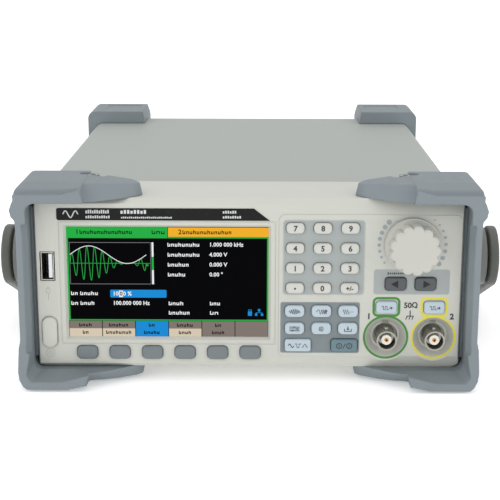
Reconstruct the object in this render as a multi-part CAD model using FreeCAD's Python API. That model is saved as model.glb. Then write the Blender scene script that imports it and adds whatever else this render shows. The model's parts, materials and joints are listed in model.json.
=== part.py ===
"""Bench function generator with a swing handle, built piece by piece.

Millimetres. X runs to the right seen from the front, Y to the back and Z up from the table.
Pieces are drawn with the front face of the bezel at Y = 0 and moved to the row frame on export.
"""
import math
import os

import FreeCAD
import Part

# ---------------------------------------------------------------- case
CASE_WIDTH = 202.0
CASE_HEIGHT = 82.6
FOOT_HEIGHT = 7.7
CASE_LENGTH = 261.6
CASE_CORNER = 4.5
BEZEL_DEPTH = 43.4
BEZEL_PLATE = 3.0
BEZEL_WALL = 1.8
SHEET = 1.0
BASE_FLANGE = 10.0
REAR_RECESS = 2.0
REAR_SHEET = 1.5

# chamfers along the front edge of the bezel, narrow on the left and wide on the right
CHAMFER_NARROW = 2.2
CHAMFER_WIDE = 6.4
CHAMFER_BACK = 3.2
CHAMFER_START = 14.0
CHAMFER_END = 42.0
CHAMFER_S_CURVE = ((0.0, 0.0), (0.3, 0.16), (0.7, 0.84), (1.0, 1.0))
SIDE_CHAMFER = 1.2

# ---------------------------------------------------------------- bumpers
BUMPER_SIDE = 6.5
BUMPER_SIDE_GAP = 1.4
BUMPER_FRONT = 14.0
BUMPER_LIP_BACK = 2.0
BUMPER_RIDGE = 4.4
BUMPER_RIDGE_LOW = 6.6
BUMPER_BEAD = 2.0
BUMPER_BEAD_RISE = 1.2
BUMPER_BULGE_BACK = 5.0
BUMPER_BULGE_SHARE = 0.4
BROW_RISE = 2.6
BROW_RISE_START = 15.5
BUMPER_MID_BACK = 5.0
BUMPER_BACK = 31.0
BUMPER_WAIST_BACK = 26.0
BUMPER_SLOPE_END = 2.0
BROW_CORNER = (3.0, 4.2)
TOE_CORNER = (7.0, 9.0)
REAR_CORNER = (4.0, 5.5)
COLUMN_BEVEL = 2.2
COLUMN_BEVEL_DEPTH = 4.0
SEAT_FRONT = 3.5
SEAT_BACK = 8.5
BUMPER_BEND_X = 0.27
BUMPER_BEND_Z = 0.31
ARM_END_SLOPE = 1.5
WAIST_LOW = 16.0
WAIST_HIGH = 6.0
BROW_INSET = 25.5
TONGUE_TOP_DROP = 0.6
TONGUE_TIP_DROP = 1.8
TONGUE_LOW_PLAN = ((22.5, -9.6), (32.4, -6.4), (41.4, -0.5), (48.3, 5.2), (50.9, 9.0),
                   (50.6, 12.5), (46.6, 18.4), (32.8, 26.1), (22.5, 30.8))
TONGUE_HIGH_PLAN = ((22.5, 1.0), (31.5, 1.6), (39.5, 3.4), (46.8, 6.4), (49.6, 9.2),
                    (49.4, 11.4), (46.1, 17.2), (32.6, 25.0), (22.5, 30.2))
HOOK_LOW = 10.1
HOOK_OUTLINE = ((-1.0, 0.0), (2.2, -1.4), (3.7, -5.0), (3.9, -9.3), (5.3, -10.1),
                (8.1, -6.5), (8.7, -3.3), (7.1, 0.8), (3.1, 4.0), (-1.0, 4.4))
TOE_OUTLINE = ((2.4, -6.9), (2.4, 2.0), (4.0, 15.3), (6.0, 18.3), (7.3, 12.3), (7.6, 1.3),
               (7.0, -2.2), (5.2, -5.2), (2.9, -6.9))
SCOOP_FRONT = ((-25.5, 0.0), (-13.0, -3.5), (2.2, -3.5), (4.2, -1.4), (1.6, 14.0))
SCOOP_BACK = ((-25.5, 0.0), (-13.0, 0.0), (-2.0, 0.0), (1.4, 3.4), (1.4, 14.0))
SCOOP_DEPTH = 11.0
HOOK_BACK_SLOPE = 1.0
HOOK_DEPTH = 9.0
REAR_BUMPER_WRAP = 22.6
REAR_BUMPER_THICK = 20.1
REAR_BUMPER_SIDE = 5.0
REAR_BUMPER_INSET = 32.0
REAR_BUMPER_LIP = 5.0
REAR_BUMPER_CHAMFER = 5.0
SCREW_INSET = 26.0
SCREW_Y = 24.0
SCREW_SLOT = 13.0
SCREW_SLOT_WIDE = 6.0
SCREW_SINK = 2.2
SCREW_HEAD_R = 2.6
SCREW_HEAD = 1.4
SCREW_SHANK_R = 1.4
SCREW_SOCKET_R = 1.3
SCREW_HOLE_R = 1.6
GROOVE_DEPTH = 0.8
GROOVE_FRONT = 15.0
GROOVE_BACK = 10.0
GROOVE_SIDE = 5.0

# ---------------------------------------------------------------- display
DISPLAY_X = -38.2
DISPLAY_Z = 49.7
ACTIVE_WIDTH = 95.04
ACTIVE_HEIGHT = 53.86
DISPLAY_SLOPE = 1.2
DISPLAY_SINK = 2.0
WINDOW_MARGIN = 2.0
MODULE_MARGIN = 3.0
MODULE_THICK = 4.4
FRAME_MARGIN_X = 3.0
FRAME_MARGIN_Z = 2.7
FRAME_LINE = 0.5

STRIP_LEFT = -89.7
STRIP_TOP_END = 2.4
STRIP_TIP = 9.9
STRIP_LOW = 80.1
STRIP_HIGH = 85.9
STRIP_THICK = 0.6
STRIP_PROUD = 0.15
STRIP_CORNER = 1.0

# ---------------------------------------------------------------- control plate
PLATE_LEFT = 14.3
PLATE_RIGHT = 99.6
PLATE_LOW = 14.0
PLATE_HIGH = 83.1
PLATE_CORNER = 3.0
PLATE_PROUD = 0.4
PLATE_THICK = 2.5
PLATE_LEDGE = 1.5

# ---------------------------------------------------------------- keys
KEY_TRAVEL = 0.8
KEY_CLEARANCE = 0.25
KEY_FLANGE = 0.5
KEY_FLANGE_THICK = 0.9
KEY_FLANGE_GAP = 0.1
KEY_STEM_R = 1.5
KEY_EDGE = 0.7
BOARD_FRONT = 7.0
BOARD_THICK = 1.6

NUMBER_SIZE = (8.5, 5.0, 2.0, 1.9)
NUMBER_X = 21.8
NUMBER_PITCH_X = 12.85
NUMBER_Z = 76.8
NUMBER_PITCH_Z = 9.63
FUNCTION_SIZE = (9.3, 5.7, 2.2, 1.5)
FUNCTION_X = 21.8
FUNCTION_PITCH_X = 12.65
FUNCTION_Z = 36.5
FUNCTION_PITCH_Z = 8.5
WIDE_SIZE = (12.5, 6.1, 1.2, 1.5)
WIDE_LEFT_X = 23.4
WIDE_RIGHT_X = 45.5
WIDE_Z = 19.6
ARROW_SIZE = (9.9, 6.4, 1.6, 1.2)
ARROW_LEFT_X = 69.2
ARROW_RIGHT_X = 83.3
ARROW_Z = 50.0
OUTPUT_KEY_SIZE = (9.8, 6.1, 1.6, 1.5)
OUTPUT_KEY_Z = 38.5
SOFT_SIZE = (9.8, 6.5, 2.2, 1.6)
SOFT_X = -77.0
SOFT_PITCH = 15.55
SOFT_Z = 15.6
POWER_SIZE = (7.2, 15.1, 3.5, 1.6)
POWER_X = -94.7
POWER_Z = 25.5

# ---------------------------------------------------------------- knob
KNOB_X = 76.6
KNOB_Z = 68.9
KNOB_SKIRT_R = 13.2
KNOB_SKIRT_LENGTH = 2.6
KNOB_NECK_R = 12.6
KNOB_NECK_LENGTH = 3.0
KNOB_LENGTH = 12.6
KNOB_GAP = 0.6
KNOB_LOBES = 13
KNOB_LOBE_R = 2.75
KNOB_LOBE_REACH = 9.1
KNOB_ROUND = 1.3
SHAFT_R = 3.0
SHAFT_FIT = 0.05
SHAFT_LENGTH = 9.0
BUSH_WALL = 0.5
BUSH_HOLE = 0.3
ENCODER_SIZE = 11.5
ENCODER_DEPTH = 3.4

# ---------------------------------------------------------------- coaxial sockets
SOCKET_LEFT_X = 65.2
SOCKET_RIGHT_X = 87.8
SOCKET_Z = 23.65
BULGE_R = 11.8
BOSS_R = 10.2
BOSS_GAP = 0.3
BOSS_BACK = 7.0
DISH_R = 9.8
DISH_FLOOR_R = 6.9
DISH_FLOOR = 3.6
DISH_HOLE_GAP = 1.1
DISH_NOTCH = 3.0
DISH_NOTCH_REACH = 7.4
BARREL_R = 4.8
NOSE_LENGTH = 3.0
BARREL_STEP = 0.1
BARREL_WALL = 0.75
BARREL_FRONT = 6.5
BARREL_BORE_DEPTH = 7.5
LUG_R = 1.0
LUG_PROUD = 0.8
LUG_BACK = 4.4
INSULATOR_R = 2.45
INSULATOR_SINK = 1.6
CONTACT_R = 0.95
CONTACT_HOLE_R = 0.55
CONTACT_SINK = 0.5
CONTACT_HOLE_DEPTH = 4.0
NUT_RIM = 2.8
NUT_THICK = 2.6
SOCKET_TAIL_R = 4.4
SOCKET_TAIL = 9.0

# ---------------------------------------------------------------- front bus socket
BUS_X = -94.8
BUS_Z = 57.8
BUS_WIDTH = 6.1
BUS_HEIGHT = 13.6
BUS_WALL = 0.35
BUS_GAP_X = 0.55
BUS_GAP_Z = 0.4
BUS_FRONT = 0.3
BUS_DEPTH = 14.0
BUS_TONGUE = 1.84
BUS_TONGUE_HEIGHT = 11.6
BUS_TONGUE_GAP = 0.4
BUS_TONGUE_SINK = 0.8
BUS_BACK_WALL = 2.0

# ---------------------------------------------------------------- rear
INLET_X = 64.0
INLET_Z = 34.0
INLET_WIDTH = 27.0
INLET_HEIGHT = 19.8
INLET_FLANGE = 2.6
INLET_EAR = 10.0
INLET_MOUTH_WIDTH = 24.4
INLET_MOUTH_HEIGHT = 16.6
INLET_CORNER = 4.0
INLET_DEPTH = 20.0
INLET_MOUTH_DEPTH = 17.0
BLADE_PITCH = 7.0
BLADE_THICK = 2.0
BLADE_HEIGHT = 4.0
BLADE_LENGTH = 14.0
EARTH_LIFT = 3.0
REAR_SOCKET_X = (-6.0, 16.0)
REAR_SOCKET_Z = 64.0
REAR_SOCKET_PROUD = 10.5
NETWORK_X = -8.0
NETWORK_Z = 28.0
NETWORK_WIDTH = 16.0
NETWORK_HEIGHT = 13.4
NETWORK_DEPTH = 18.0
NETWORK_MOUTH_WIDTH = 11.8
NETWORK_MOUTH_HEIGHT = 8.4
NETWORK_MOUTH_DEPTH = 12.0
DEVICE_X = 16.0
DEVICE_Z = 28.0
DEVICE_WIDTH = 12.0
DEVICE_HEIGHT = 10.8
DEVICE_DEPTH = 16.0
DEVICE_MOUTH_WIDTH = 8.5
DEVICE_MOUTH_HEIGHT = 7.8
DEVICE_MOUTH_DEPTH = 9.0
DEVICE_TONGUE_WIDTH = 5.6
DEVICE_TONGUE_HEIGHT = 3.2
DEVICE_TONGUE_LENGTH = 7.5
VENT_X = -62.0
VENT_Z = 49.0
VENT_COUNT = 9
VENT_PITCH = 5.2
VENT_WIDTH = 2.4
VENT_HEIGHT = 50.0
MAIN_BOARD_FRONT = 62.0
MAIN_BOARD_GAP = 22.1
MAIN_BOARD_HALF = 88.0
MAIN_BOARD_LIFT = 6.0
POST_R = 3.0
POST_INSET = 8.0
BOARD_POST_R = 2.6
BOARD_POSTS = ((-92.0, 14.5), (-92.0, 84.6), (14.5, 85.0), (98.0, 84.6), (98.0, 45.0))

# ---------------------------------------------------------------- handle
PIVOT_Y = 82.0
PIVOT_Z = 43.0
HEAD_R = 16.0
ARM_OFFSET = 29.6
ARM_THICK = 5.0
HUB_R = 15.4
GROOVE_R = 13.6
GROOVE_WIDE = 1.0
HUB_FACE_GAP = 0.2
PIN_R = 5.0
PIN_FIT = 0.05
PIN_LENGTH = 12.0
PIN_END_GAP = 1.0
ARM_LOWER_SLOPE = 22.8
ARM_UPPER_SLOPE = 45.0
ARM_RISE = 16.0
BAR_GAP = 15.0
BAR_DEPTH = 24.0
BAR_LIFT = 1.0
BAR_CASE_GAP = 1.1
BAR_EDGE = 2.0
ARM_END_HIGH = 12.0
GRIP_HALF = 70.0
GRIP_SKIN = 1.2

# ---------------------------------------------------------------- derived
HALF_WIDTH = CASE_WIDTH / 2
CASE_LOW = FOOT_HEIGHT
CASE_HIGH = FOOT_HEIGHT + CASE_HEIGHT
CASE_MID = FOOT_HEIGHT + CASE_HEIGHT / 2
BUMPER_HIGH = CASE_HIGH + FOOT_HEIGHT
REAR_PANEL_BACK = CASE_LENGTH - REAR_RECESS
REAR_PANEL_FRONT = REAR_PANEL_BACK - REAR_SHEET
REAR_BUMPER_FACE = CASE_LENGTH - REAR_BUMPER_WRAP
REAR_BUMPER_END = CASE_LENGTH + REAR_BUMPER_THICK
REAR_BUMPER_TIP = HALF_WIDTH - REAR_BUMPER_INSET
SCREW_X = HALF_WIDTH - SCREW_INSET
HANDLE_WIDTH = CASE_WIDTH + 2 * ARM_OFFSET
BAR_BACK = REAR_BUMPER_FACE - BAR_GAP
BAR_FRONT = BAR_BACK - BAR_DEPTH
BAR_LOW = BAR_LIFT
BAR_HIGH = FOOT_HEIGHT - BAR_CASE_GAP
MAIN_BOARD_BACK = REAR_PANEL_FRONT - MAIN_BOARD_GAP
WINDOW_THICK = BEZEL_PLATE - DISPLAY_SINK
BUSH_R = SHAFT_R + BUSH_WALL
BARREL_BORE_R = BARREL_R - BARREL_WALL
DISH_HOLE_R = BARREL_R + DISH_HOLE_GAP
LUG_REACH = BARREL_R + LUG_PROUD
NUT_R = BARREL_R + NUT_RIM
BUS_CUT_WIDTH = BUS_WIDTH + 2 * BUS_GAP_X
BUS_CUT_HEIGHT = BUS_HEIGHT + 2 * BUS_GAP_Z
PLATE_FACE = -PLATE_PROUD
PLATE_BACK = PLATE_THICK - PLATE_PROUD
KEY_STEM_END = BOARD_FRONT - KEY_TRAVEL - 2 * KEY_FLANGE_GAP
BOARD_BACK = BOARD_FRONT + BOARD_THICK
CHAMFER_RUN = CHAMFER_END - CHAMFER_START
ROW_SHIFT = FreeCAD.Vector(0, (BUMPER_FRONT - REAR_BUMPER_END) / 2, 0)
OVER = 5.0


# ---------------------------------------------------------------- drawing helpers
def vec(x, y, z):
    return FreeCAD.Vector(x, y, z)


def block(x_span, y_span, z_span):
    size = [span[1] - span[0] for span in (x_span, y_span, z_span)]
    return Part.makeBox(size[0], size[1], size[2], vec(x_span[0], y_span[0], z_span[0]))


def around(centre, size):
    return (centre - size / 2, centre + size / 2)


def rod_x(y, z, radius, x_span):
    return Part.makeCylinder(radius, x_span[1] - x_span[0], vec(x_span[0], y, z), vec(1, 0, 0))


def rod_y(x, z, radius, y_span):
    return Part.makeCylinder(radius, y_span[1] - y_span[0], vec(x, y_span[0], z), vec(0, 1, 0))


def rod_z(x, y, radius, z_span):
    return Part.makeCylinder(radius, z_span[1] - z_span[0], vec(x, y, z_span[0]), vec(0, 0, 1))


def cone_y(x, z, front_r, back_r, y_span):
    return Part.makeCone(front_r, back_r, y_span[1] - y_span[0], vec(x, y_span[0], z), vec(0, 1, 0))


def polygon(points):
    return Part.makePolygon(points + [points[0]])


def prism(points, push):
    return Part.Face(polygon(points)).extrude(push)


def prism_x(points, x_span):
    return prism([vec(x_span[0], y, z) for y, z in points], vec(x_span[1] - x_span[0], 0, 0))


def prism_y(points, y_span):
    return prism([vec(x, y_span[0], z) for x, z in points], vec(0, y_span[1] - y_span[0], 0))


def prism_z(points, z_span):
    return prism([vec(x, y, z_span[0]) for x, y in points], vec(0, 0, z_span[1] - z_span[0]))


def along_y(edge):
    first, last = edge.Vertexes[0].Point, edge.Vertexes[-1].Point
    return abs((last - first).normalize().y) > 0.999


def at_y(edge, y):
    return all(abs(vertex.Point.y - y) < 0.001 for vertex in edge.Vertexes)


def rounded(x, z, width, height, corner, y_span):
    """Bar along Y with a rounded rectangular section."""
    bar = block(around(x, width), y_span, around(z, height))
    return bar.makeFillet(corner, [edge for edge in bar.Edges if along_y(edge)])


def soften(shape, y, radius):
    """Rounds every edge that lies in the plane at depth y."""
    return shape.makeFillet(radius, [edge for edge in shape.Edges if at_y(edge, y)])


def join(first, *others):
    shape = first
    for other in others:
        shape = shape.fuse(other)
    return shape.removeSplitter()


def cut(shape, *tools):
    for tool in tools:
        shape = shape.cut(tool)
    return shape


def mirror_x(shape):
    return shape.mirror(vec(0, 0, 0), vec(1, 0, 0))


def mirror_case(shape):
    """Turns a shape on the case's upper side into the one on its lower side."""
    return shape.mirror(vec(0, 0, CASE_MID), vec(0, 0, 1))


# ---------------------------------------------------------------- key layout
def key_layout():
    """Every key: name, x, z, its size and whether it sits in the control plate."""
    keys = []
    for row, names in enumerate((("7", "8", "9"), ("4", "5", "6"), ("1", "2", "3"), ("point", "0", "sign"))):
        for column, name in enumerate(names):
            x = NUMBER_X + column * NUMBER_PITCH_X
            keys.append(("key_number_" + name, x, NUMBER_Z - row * NUMBER_PITCH_Z, NUMBER_SIZE, True))
    for row in range(2):
        for column in range(3):
            x = FUNCTION_X + column * FUNCTION_PITCH_X
            name = "key_function_%d" % (row * 3 + column + 1)
            keys.append((name, x, FUNCTION_Z - row * FUNCTION_PITCH_Z, FUNCTION_SIZE, True))
    keys.append(("key_waveform", WIDE_LEFT_X, WIDE_Z, WIDE_SIZE, True))
    keys.append(("key_channel", WIDE_RIGHT_X, WIDE_Z, WIDE_SIZE, True))
    keys.append(("key_arrow_left", ARROW_LEFT_X, ARROW_Z, ARROW_SIZE, True))
    keys.append(("key_arrow_right", ARROW_RIGHT_X, ARROW_Z, ARROW_SIZE, True))
    keys.append(("key_output_1", SOCKET_LEFT_X, OUTPUT_KEY_Z, OUTPUT_KEY_SIZE, True))
    keys.append(("key_output_2", SOCKET_RIGHT_X, OUTPUT_KEY_Z, OUTPUT_KEY_SIZE, True))
    for number in range(6):
        keys.append(("key_soft_%d" % (number + 1), SOFT_X + number * SOFT_PITCH, SOFT_Z, SOFT_SIZE, False))
    keys.append(("key_power", POWER_X, POWER_Z, POWER_SIZE, False))
    return keys


def key_piece(x, z, size, in_plate):
    """A key cap with the flange that keeps it behind its plate and the stem that presses the board."""
    width, height, corner, proud = size
    face = PLATE_FACE if in_plate else 0.0
    back = (PLATE_BACK if in_plate else BEZEL_PLATE) + KEY_FLANGE_GAP
    cap = rounded(x, z, width, height, corner, (face - proud, back))
    cap = soften(cap, face - proud, KEY_EDGE)
    flange = rounded(x, z, width + 2 * KEY_FLANGE, height + 2 * KEY_FLANGE, corner + KEY_FLANGE,
                     (back, back + KEY_FLANGE_THICK))
    stem = rod_y(x, z, KEY_STEM_R, (back + KEY_FLANGE_THICK, KEY_STEM_END))
    return join(cap, flange, stem)


def key_hole(x, z, size):
    width, height, corner, proud = size
    return rounded(x, z, width + 2 * KEY_CLEARANCE, height + 2 * KEY_CLEARANCE, corner + KEY_CLEARANCE,
                   (-OVER, BEZEL_PLATE + OVER))


def key_holes(in_plate):
    return [key_hole(x, z, size) for name, x, z, size, plate in key_layout() if plate == in_plate]


# ---------------------------------------------------------------- bezel
def case_solid(y_span, inset):
    """Case section shrunk by inset on every side."""
    corner = max(CASE_CORNER - inset, SIDE_CHAMFER)
    return rounded(0, CASE_MID, CASE_WIDTH - 2 * inset, CASE_HEIGHT - 2 * inset, corner, y_span)


def edge_chamfer():
    """Wedge off the bezel's upper front edge, growing from narrow to wide along an S."""
    stations = [(-HALF_WIDTH - OVER, 0.0)]
    stations += [(CHAMFER_START + along * CHAMFER_RUN, share) for along, share in CHAMFER_S_CURVE]
    stations += [(HALF_WIDTH + OVER, 1.0)]
    wedges = []
    for (x_a, share_a), (x_b, share_b) in zip(stations, stations[1:]):
        rings = []
        for x, share in ((x_a, share_a), (x_b, share_b)):
            drop = CHAMFER_NARROW + share * (CHAMFER_WIDE - CHAMFER_NARROW)
            rings.append(polygon([vec(x, -OVER, CASE_HIGH - drop), vec(x, 0, CASE_HIGH - drop),
                                  vec(x, CHAMFER_BACK, CASE_HIGH), vec(x, CHAMFER_BACK, CASE_HIGH + OVER),
                                  vec(x, -OVER, CASE_HIGH + OVER)]))
        wedges.append(Part.makeLoft(rings, True, True))
    return join(*wedges)


def plate_outline(margin, y_span):
    """Outline of the control plate, with a bulge round each socket."""
    width = PLATE_RIGHT - PLATE_LEFT - 2 * margin
    height = PLATE_HIGH - PLATE_LOW - 2 * margin
    centre_x = (PLATE_LEFT + PLATE_RIGHT) / 2
    centre_z = (PLATE_LOW + PLATE_HIGH) / 2
    return rounded(centre_x, centre_z, width, height, PLATE_CORNER - margin / 2, y_span)


def socket_rods(radius, y_span):
    return [rod_y(x, SOCKET_Z, radius, y_span) for x in (SOCKET_LEFT_X, SOCKET_RIGHT_X)]


def display_hole():
    """Sloped frame round the screen and the pocket for its window."""
    front = [vec(x, 0, z) for x, z in screen_corners(DISPLAY_SLOPE)]
    back = [vec(x, DISPLAY_SINK, z) for x, z in screen_corners(0)]
    sloped = Part.makeLoft([polygon(front), polygon(back)], True, True)
    sides = block(around(DISPLAY_X, ACTIVE_WIDTH + 2 * WINDOW_MARGIN), (DISPLAY_SINK, BEZEL_PLATE),
                  around(DISPLAY_Z, ACTIVE_HEIGHT + 2 * WINDOW_MARGIN))
    return [sloped, sides]


def screen_corners(margin):
    xs = around(DISPLAY_X, ACTIVE_WIDTH + 2 * margin)
    zs = around(DISPLAY_Z, ACTIVE_HEIGHT + 2 * margin)
    return [(xs[0], zs[0]), (xs[1], zs[0]), (xs[1], zs[1]), (xs[0], zs[1])]


def frame_groove():
    """Fine step round the display and its soft keys."""
    width = ACTIVE_WIDTH + 2 * FRAME_MARGIN_X + 2 * FRAME_LINE
    outer = block(around(DISPLAY_X, width), (-OVER, FRAME_LINE / 2),
                  around(DISPLAY_Z, ACTIVE_HEIGHT + 2 * FRAME_MARGIN_Z + 2 * FRAME_LINE))
    inner = block(around(DISPLAY_X, width - 2 * FRAME_LINE), (-OVER, OVER),
                  around(DISPLAY_Z, ACTIVE_HEIGHT + 2 * FRAME_MARGIN_Z))
    return outer.cut(inner)


def strip_outline(y_span):
    points = [(STRIP_LEFT, STRIP_LOW), (STRIP_TIP, STRIP_LOW), (STRIP_TOP_END, STRIP_HIGH),
              (STRIP_LEFT, STRIP_HIGH)]
    strip = prism_y(points, y_span)
    left = [edge for edge in strip.Edges if along_y(edge) and edge.CenterOfMass.x < STRIP_LEFT + STRIP_CORNER]
    return strip.makeFillet(STRIP_CORNER, left)


def board_posts(y_span):
    return [rod_y(x, z, BOARD_POST_R, y_span) for x, z in BOARD_POSTS]


def front_bezel():
    """Moulded front frame: plate, four walls, openings and the posts that carry the key board."""
    shell = cut(case_solid((0, BEZEL_DEPTH), 0), case_solid((BEZEL_PLATE, BEZEL_DEPTH + OVER), BEZEL_WALL))
    wedge = edge_chamfer()
    shell = cut(shell, wedge, mirror_case(wedge), side_wedge(), mirror_x(side_wedge()))
    shell = cut(shell, *display_hole())
    shell = cut(shell, frame_groove(), strip_outline((-OVER, STRIP_THICK - STRIP_PROUD)))
    shell = cut(shell, *key_holes(False))
    shell = cut(shell, rounded(BUS_X, BUS_Z, BUS_CUT_WIDTH, BUS_CUT_HEIGHT, BUS_WALL,
                               (-OVER, BEZEL_PLATE + OVER)))
    shell = cut(shell, plate_outline(0, (-OVER, PLATE_BACK)), *socket_rods(BULGE_R, (-OVER, PLATE_BACK)))
    shell = cut(shell, plate_outline(PLATE_LEDGE, (0, BEZEL_PLATE + OVER)),
                *socket_rods(BOSS_R + BOSS_GAP, (0, BEZEL_PLATE + OVER)))
    return join(shell, *board_posts((BEZEL_PLATE, BOARD_FRONT)))


def side_wedge():
    """Narrow chamfer down the right-hand front edge."""
    return prism_z([(HALF_WIDTH - SIDE_CHAMFER, -OVER), (HALF_WIDTH - SIDE_CHAMFER, 0),
                    (HALF_WIDTH, CHAMFER_BACK), (HALF_WIDTH + OVER, CHAMFER_BACK), (HALF_WIDTH + OVER, -OVER)],
                   (0, BUMPER_HIGH))


def control_plate():
    """Raised plate that holds the keys, the knob and the two output sockets."""
    plate = join(plate_outline(0, (PLATE_FACE, PLATE_BACK)), *socket_rods(BULGE_R, (PLATE_FACE, PLATE_BACK)))
    plate = join(plate, *socket_rods(BOSS_R, (PLATE_FACE, BOSS_BACK)))
    for x in (SOCKET_LEFT_X, SOCKET_RIGHT_X):
        plate = cut(plate, cone_y(x, SOCKET_Z, DISH_R, DISH_FLOOR_R, (PLATE_FACE, DISH_FLOOR)),
                    rod_y(x, SOCKET_Z, BARREL_R, (-OVER, BOSS_BACK + OVER)),
                    rod_y(x, SOCKET_Z, DISH_HOLE_R, (-OVER, BOSS_BACK - SHEET)),
                    block(around(x, DISH_NOTCH), (PLATE_BACK, BOSS_BACK - SHEET),
                          (SOCKET_Z, SOCKET_Z + DISH_NOTCH_REACH)))
    plate = cut(plate, *key_holes(True))
    return cut(plate, rod_y(KNOB_X, KNOB_Z, BUSH_R + BUSH_HOLE, (-OVER, OVER)))


def name_strip():
    return strip_outline((-STRIP_PROUD, STRIP_THICK - STRIP_PROUD))


def display_window():
    return block(around(DISPLAY_X, ACTIVE_WIDTH + 2 * WINDOW_MARGIN), (DISPLAY_SINK, DISPLAY_SINK + WINDOW_THICK),
                 around(DISPLAY_Z, ACTIVE_HEIGHT + 2 * WINDOW_MARGIN))


def display_module():
    front = DISPLAY_SINK + WINDOW_THICK
    return block(around(DISPLAY_X, ACTIVE_WIDTH + 2 * MODULE_MARGIN), (front, front + MODULE_THICK),
                 around(DISPLAY_Z, ACTIVE_HEIGHT + 2 * MODULE_MARGIN))


def key_board():
    """Printed board behind the keys, notched round the display and the bus socket."""
    module_low = DISPLAY_Z - ACTIVE_HEIGHT / 2 - MODULE_MARGIN - SHEET
    module_high = DISPLAY_Z + ACTIVE_HEIGHT / 2 + MODULE_MARGIN + SHEET
    module_left = DISPLAY_X - ACTIVE_WIDTH / 2 - MODULE_MARGIN - SHEET
    module_right = DISPLAY_X + ACTIVE_WIDTH / 2 + MODULE_MARGIN + SHEET
    inner = BEZEL_WALL + SHEET
    board = block((-HALF_WIDTH + inner, HALF_WIDTH - inner), (BOARD_FRONT, BOARD_BACK),
                  (CASE_LOW + inner, CASE_HIGH - inner))
    board = cut(board, block((module_left, module_right), (0, BOARD_BACK + OVER), (module_low, module_high)))
    board = cut(board, block((-HALF_WIDTH, module_left + OVER), (0, BOARD_BACK + OVER),
                             (BUS_Z - BUS_CUT_HEIGHT, BUS_Z + BUS_CUT_HEIGHT)))
    for x in (SOCKET_LEFT_X, SOCKET_RIGHT_X):
        board = cut(board, rod_y(x, SOCKET_Z, NUT_R + SHEET, (0, BOARD_BACK + OVER)))
    return board


def encoder():
    """Rotary encoder on the board; its shaft carries the knob."""
    body = block(around(KNOB_X, ENCODER_SIZE), (BOARD_FRONT - ENCODER_DEPTH, BOARD_FRONT),
                 around(KNOB_Z, ENCODER_SIZE))
    bush = rod_y(KNOB_X, KNOB_Z, BUSH_R, (PLATE_FACE, BOARD_FRONT - ENCODER_DEPTH))
    shaft = rod_y(KNOB_X, KNOB_Z, SHAFT_R, (PLATE_FACE - SHAFT_LENGTH, PLATE_FACE))
    return join(body, bush, shaft)


def control_knob():
    """Knob with a plain skirt and a lobed grip."""
    back = PLATE_FACE - KNOB_GAP
    skirt_front = back - KNOB_SKIRT_LENGTH
    front = back - KNOB_LENGTH
    skirt = rod_y(KNOB_X, KNOB_Z, KNOB_SKIRT_R, (skirt_front, back))
    neck = cone_y(KNOB_X, KNOB_Z, KNOB_LOBE_REACH + KNOB_LOBE_R / 2, KNOB_NECK_R,
                  (skirt_front - KNOB_NECK_LENGTH, skirt_front))
    grip = rod_y(KNOB_X, KNOB_Z, KNOB_LOBE_REACH, (front, skirt_front))
    for lobe in range(KNOB_LOBES):
        angle = 2 * math.pi * lobe / KNOB_LOBES
        x = KNOB_X + KNOB_LOBE_REACH * math.cos(angle)
        z = KNOB_Z + KNOB_LOBE_REACH * math.sin(angle)
        grip = grip.fuse(rod_y(x, z, KNOB_LOBE_R, (front, skirt_front)))
    grip = soften(grip.removeSplitter(), front, KNOB_ROUND)
    bore = rod_y(KNOB_X, KNOB_Z, SHAFT_R + SHAFT_FIT, (PLATE_FACE - SHAFT_LENGTH - KNOB_GAP, back + OVER))
    return cut(join(skirt, neck, grip), bore)


# ---------------------------------------------------------------- coaxial sockets
def coax_shell(x, z, panel):
    """Bayonet socket body facing -Y, clamped behind a wall whose back is at depth panel."""
    front = panel - BOSS_BACK - BARREL_FRONT
    nose = rod_y(x, z, BARREL_R, (front, front + NOSE_LENGTH))
    barrel = rod_y(x, z, BARREL_R - BARREL_STEP, (front + NOSE_LENGTH, panel + NUT_THICK))
    shell = join(nose, barrel, rod_y(x, z, NUT_R, (panel, panel + NUT_THICK)),
                 rod_y(x, z, SOCKET_TAIL_R, (panel + NUT_THICK, panel + NUT_THICK + SOCKET_TAIL)),
                 rod_z(x, front + LUG_BACK, LUG_R, (z - LUG_REACH, z + LUG_REACH)))
    return cut(shell, rod_y(x, z, BARREL_BORE_R, (front - OVER, front + BARREL_BORE_DEPTH)),
               rod_y(x, z, INSULATOR_R, (front, panel + NUT_THICK + SOCKET_TAIL - SHEET)))


def coax_insulator(x, z, panel):
    front = panel - BOSS_BACK - BARREL_FRONT
    core = rod_y(x, z, INSULATOR_R, (front + INSULATOR_SINK, panel + NUT_THICK + SOCKET_TAIL - SHEET))
    return core.cut(rod_y(x, z, CONTACT_R, (front, panel + NUT_THICK)))


def coax_contact(x, z, panel):
    front = panel - BOSS_BACK - BARREL_FRONT + INSULATOR_SINK - CONTACT_SINK
    pin = rod_y(x, z, CONTACT_R, (front, panel + NUT_THICK))
    return pin.cut(rod_y(x, z, CONTACT_HOLE_R, (front - OVER, front + CONTACT_HOLE_DEPTH)))


def facing_back(shape, x):
    """Turns a socket drawn facing forward into one facing back through the rear panel."""
    return shape.rotate(vec(x, 0, 0), vec(0, 0, 1), 180)


def front_pair(maker):
    return Part.makeCompound([maker(x, SOCKET_Z, BOSS_BACK) for x in (SOCKET_LEFT_X, SOCKET_RIGHT_X)])


def rear_coax_sockets():
    sockets = []
    for x in REAR_SOCKET_X:
        shell = join(coax_shell(x, REAR_SOCKET_Z, -REAR_PANEL_FRONT), rear_core(x))
        sockets.append(facing_back(shell, x))
    return Part.makeCompound(sockets)


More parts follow.
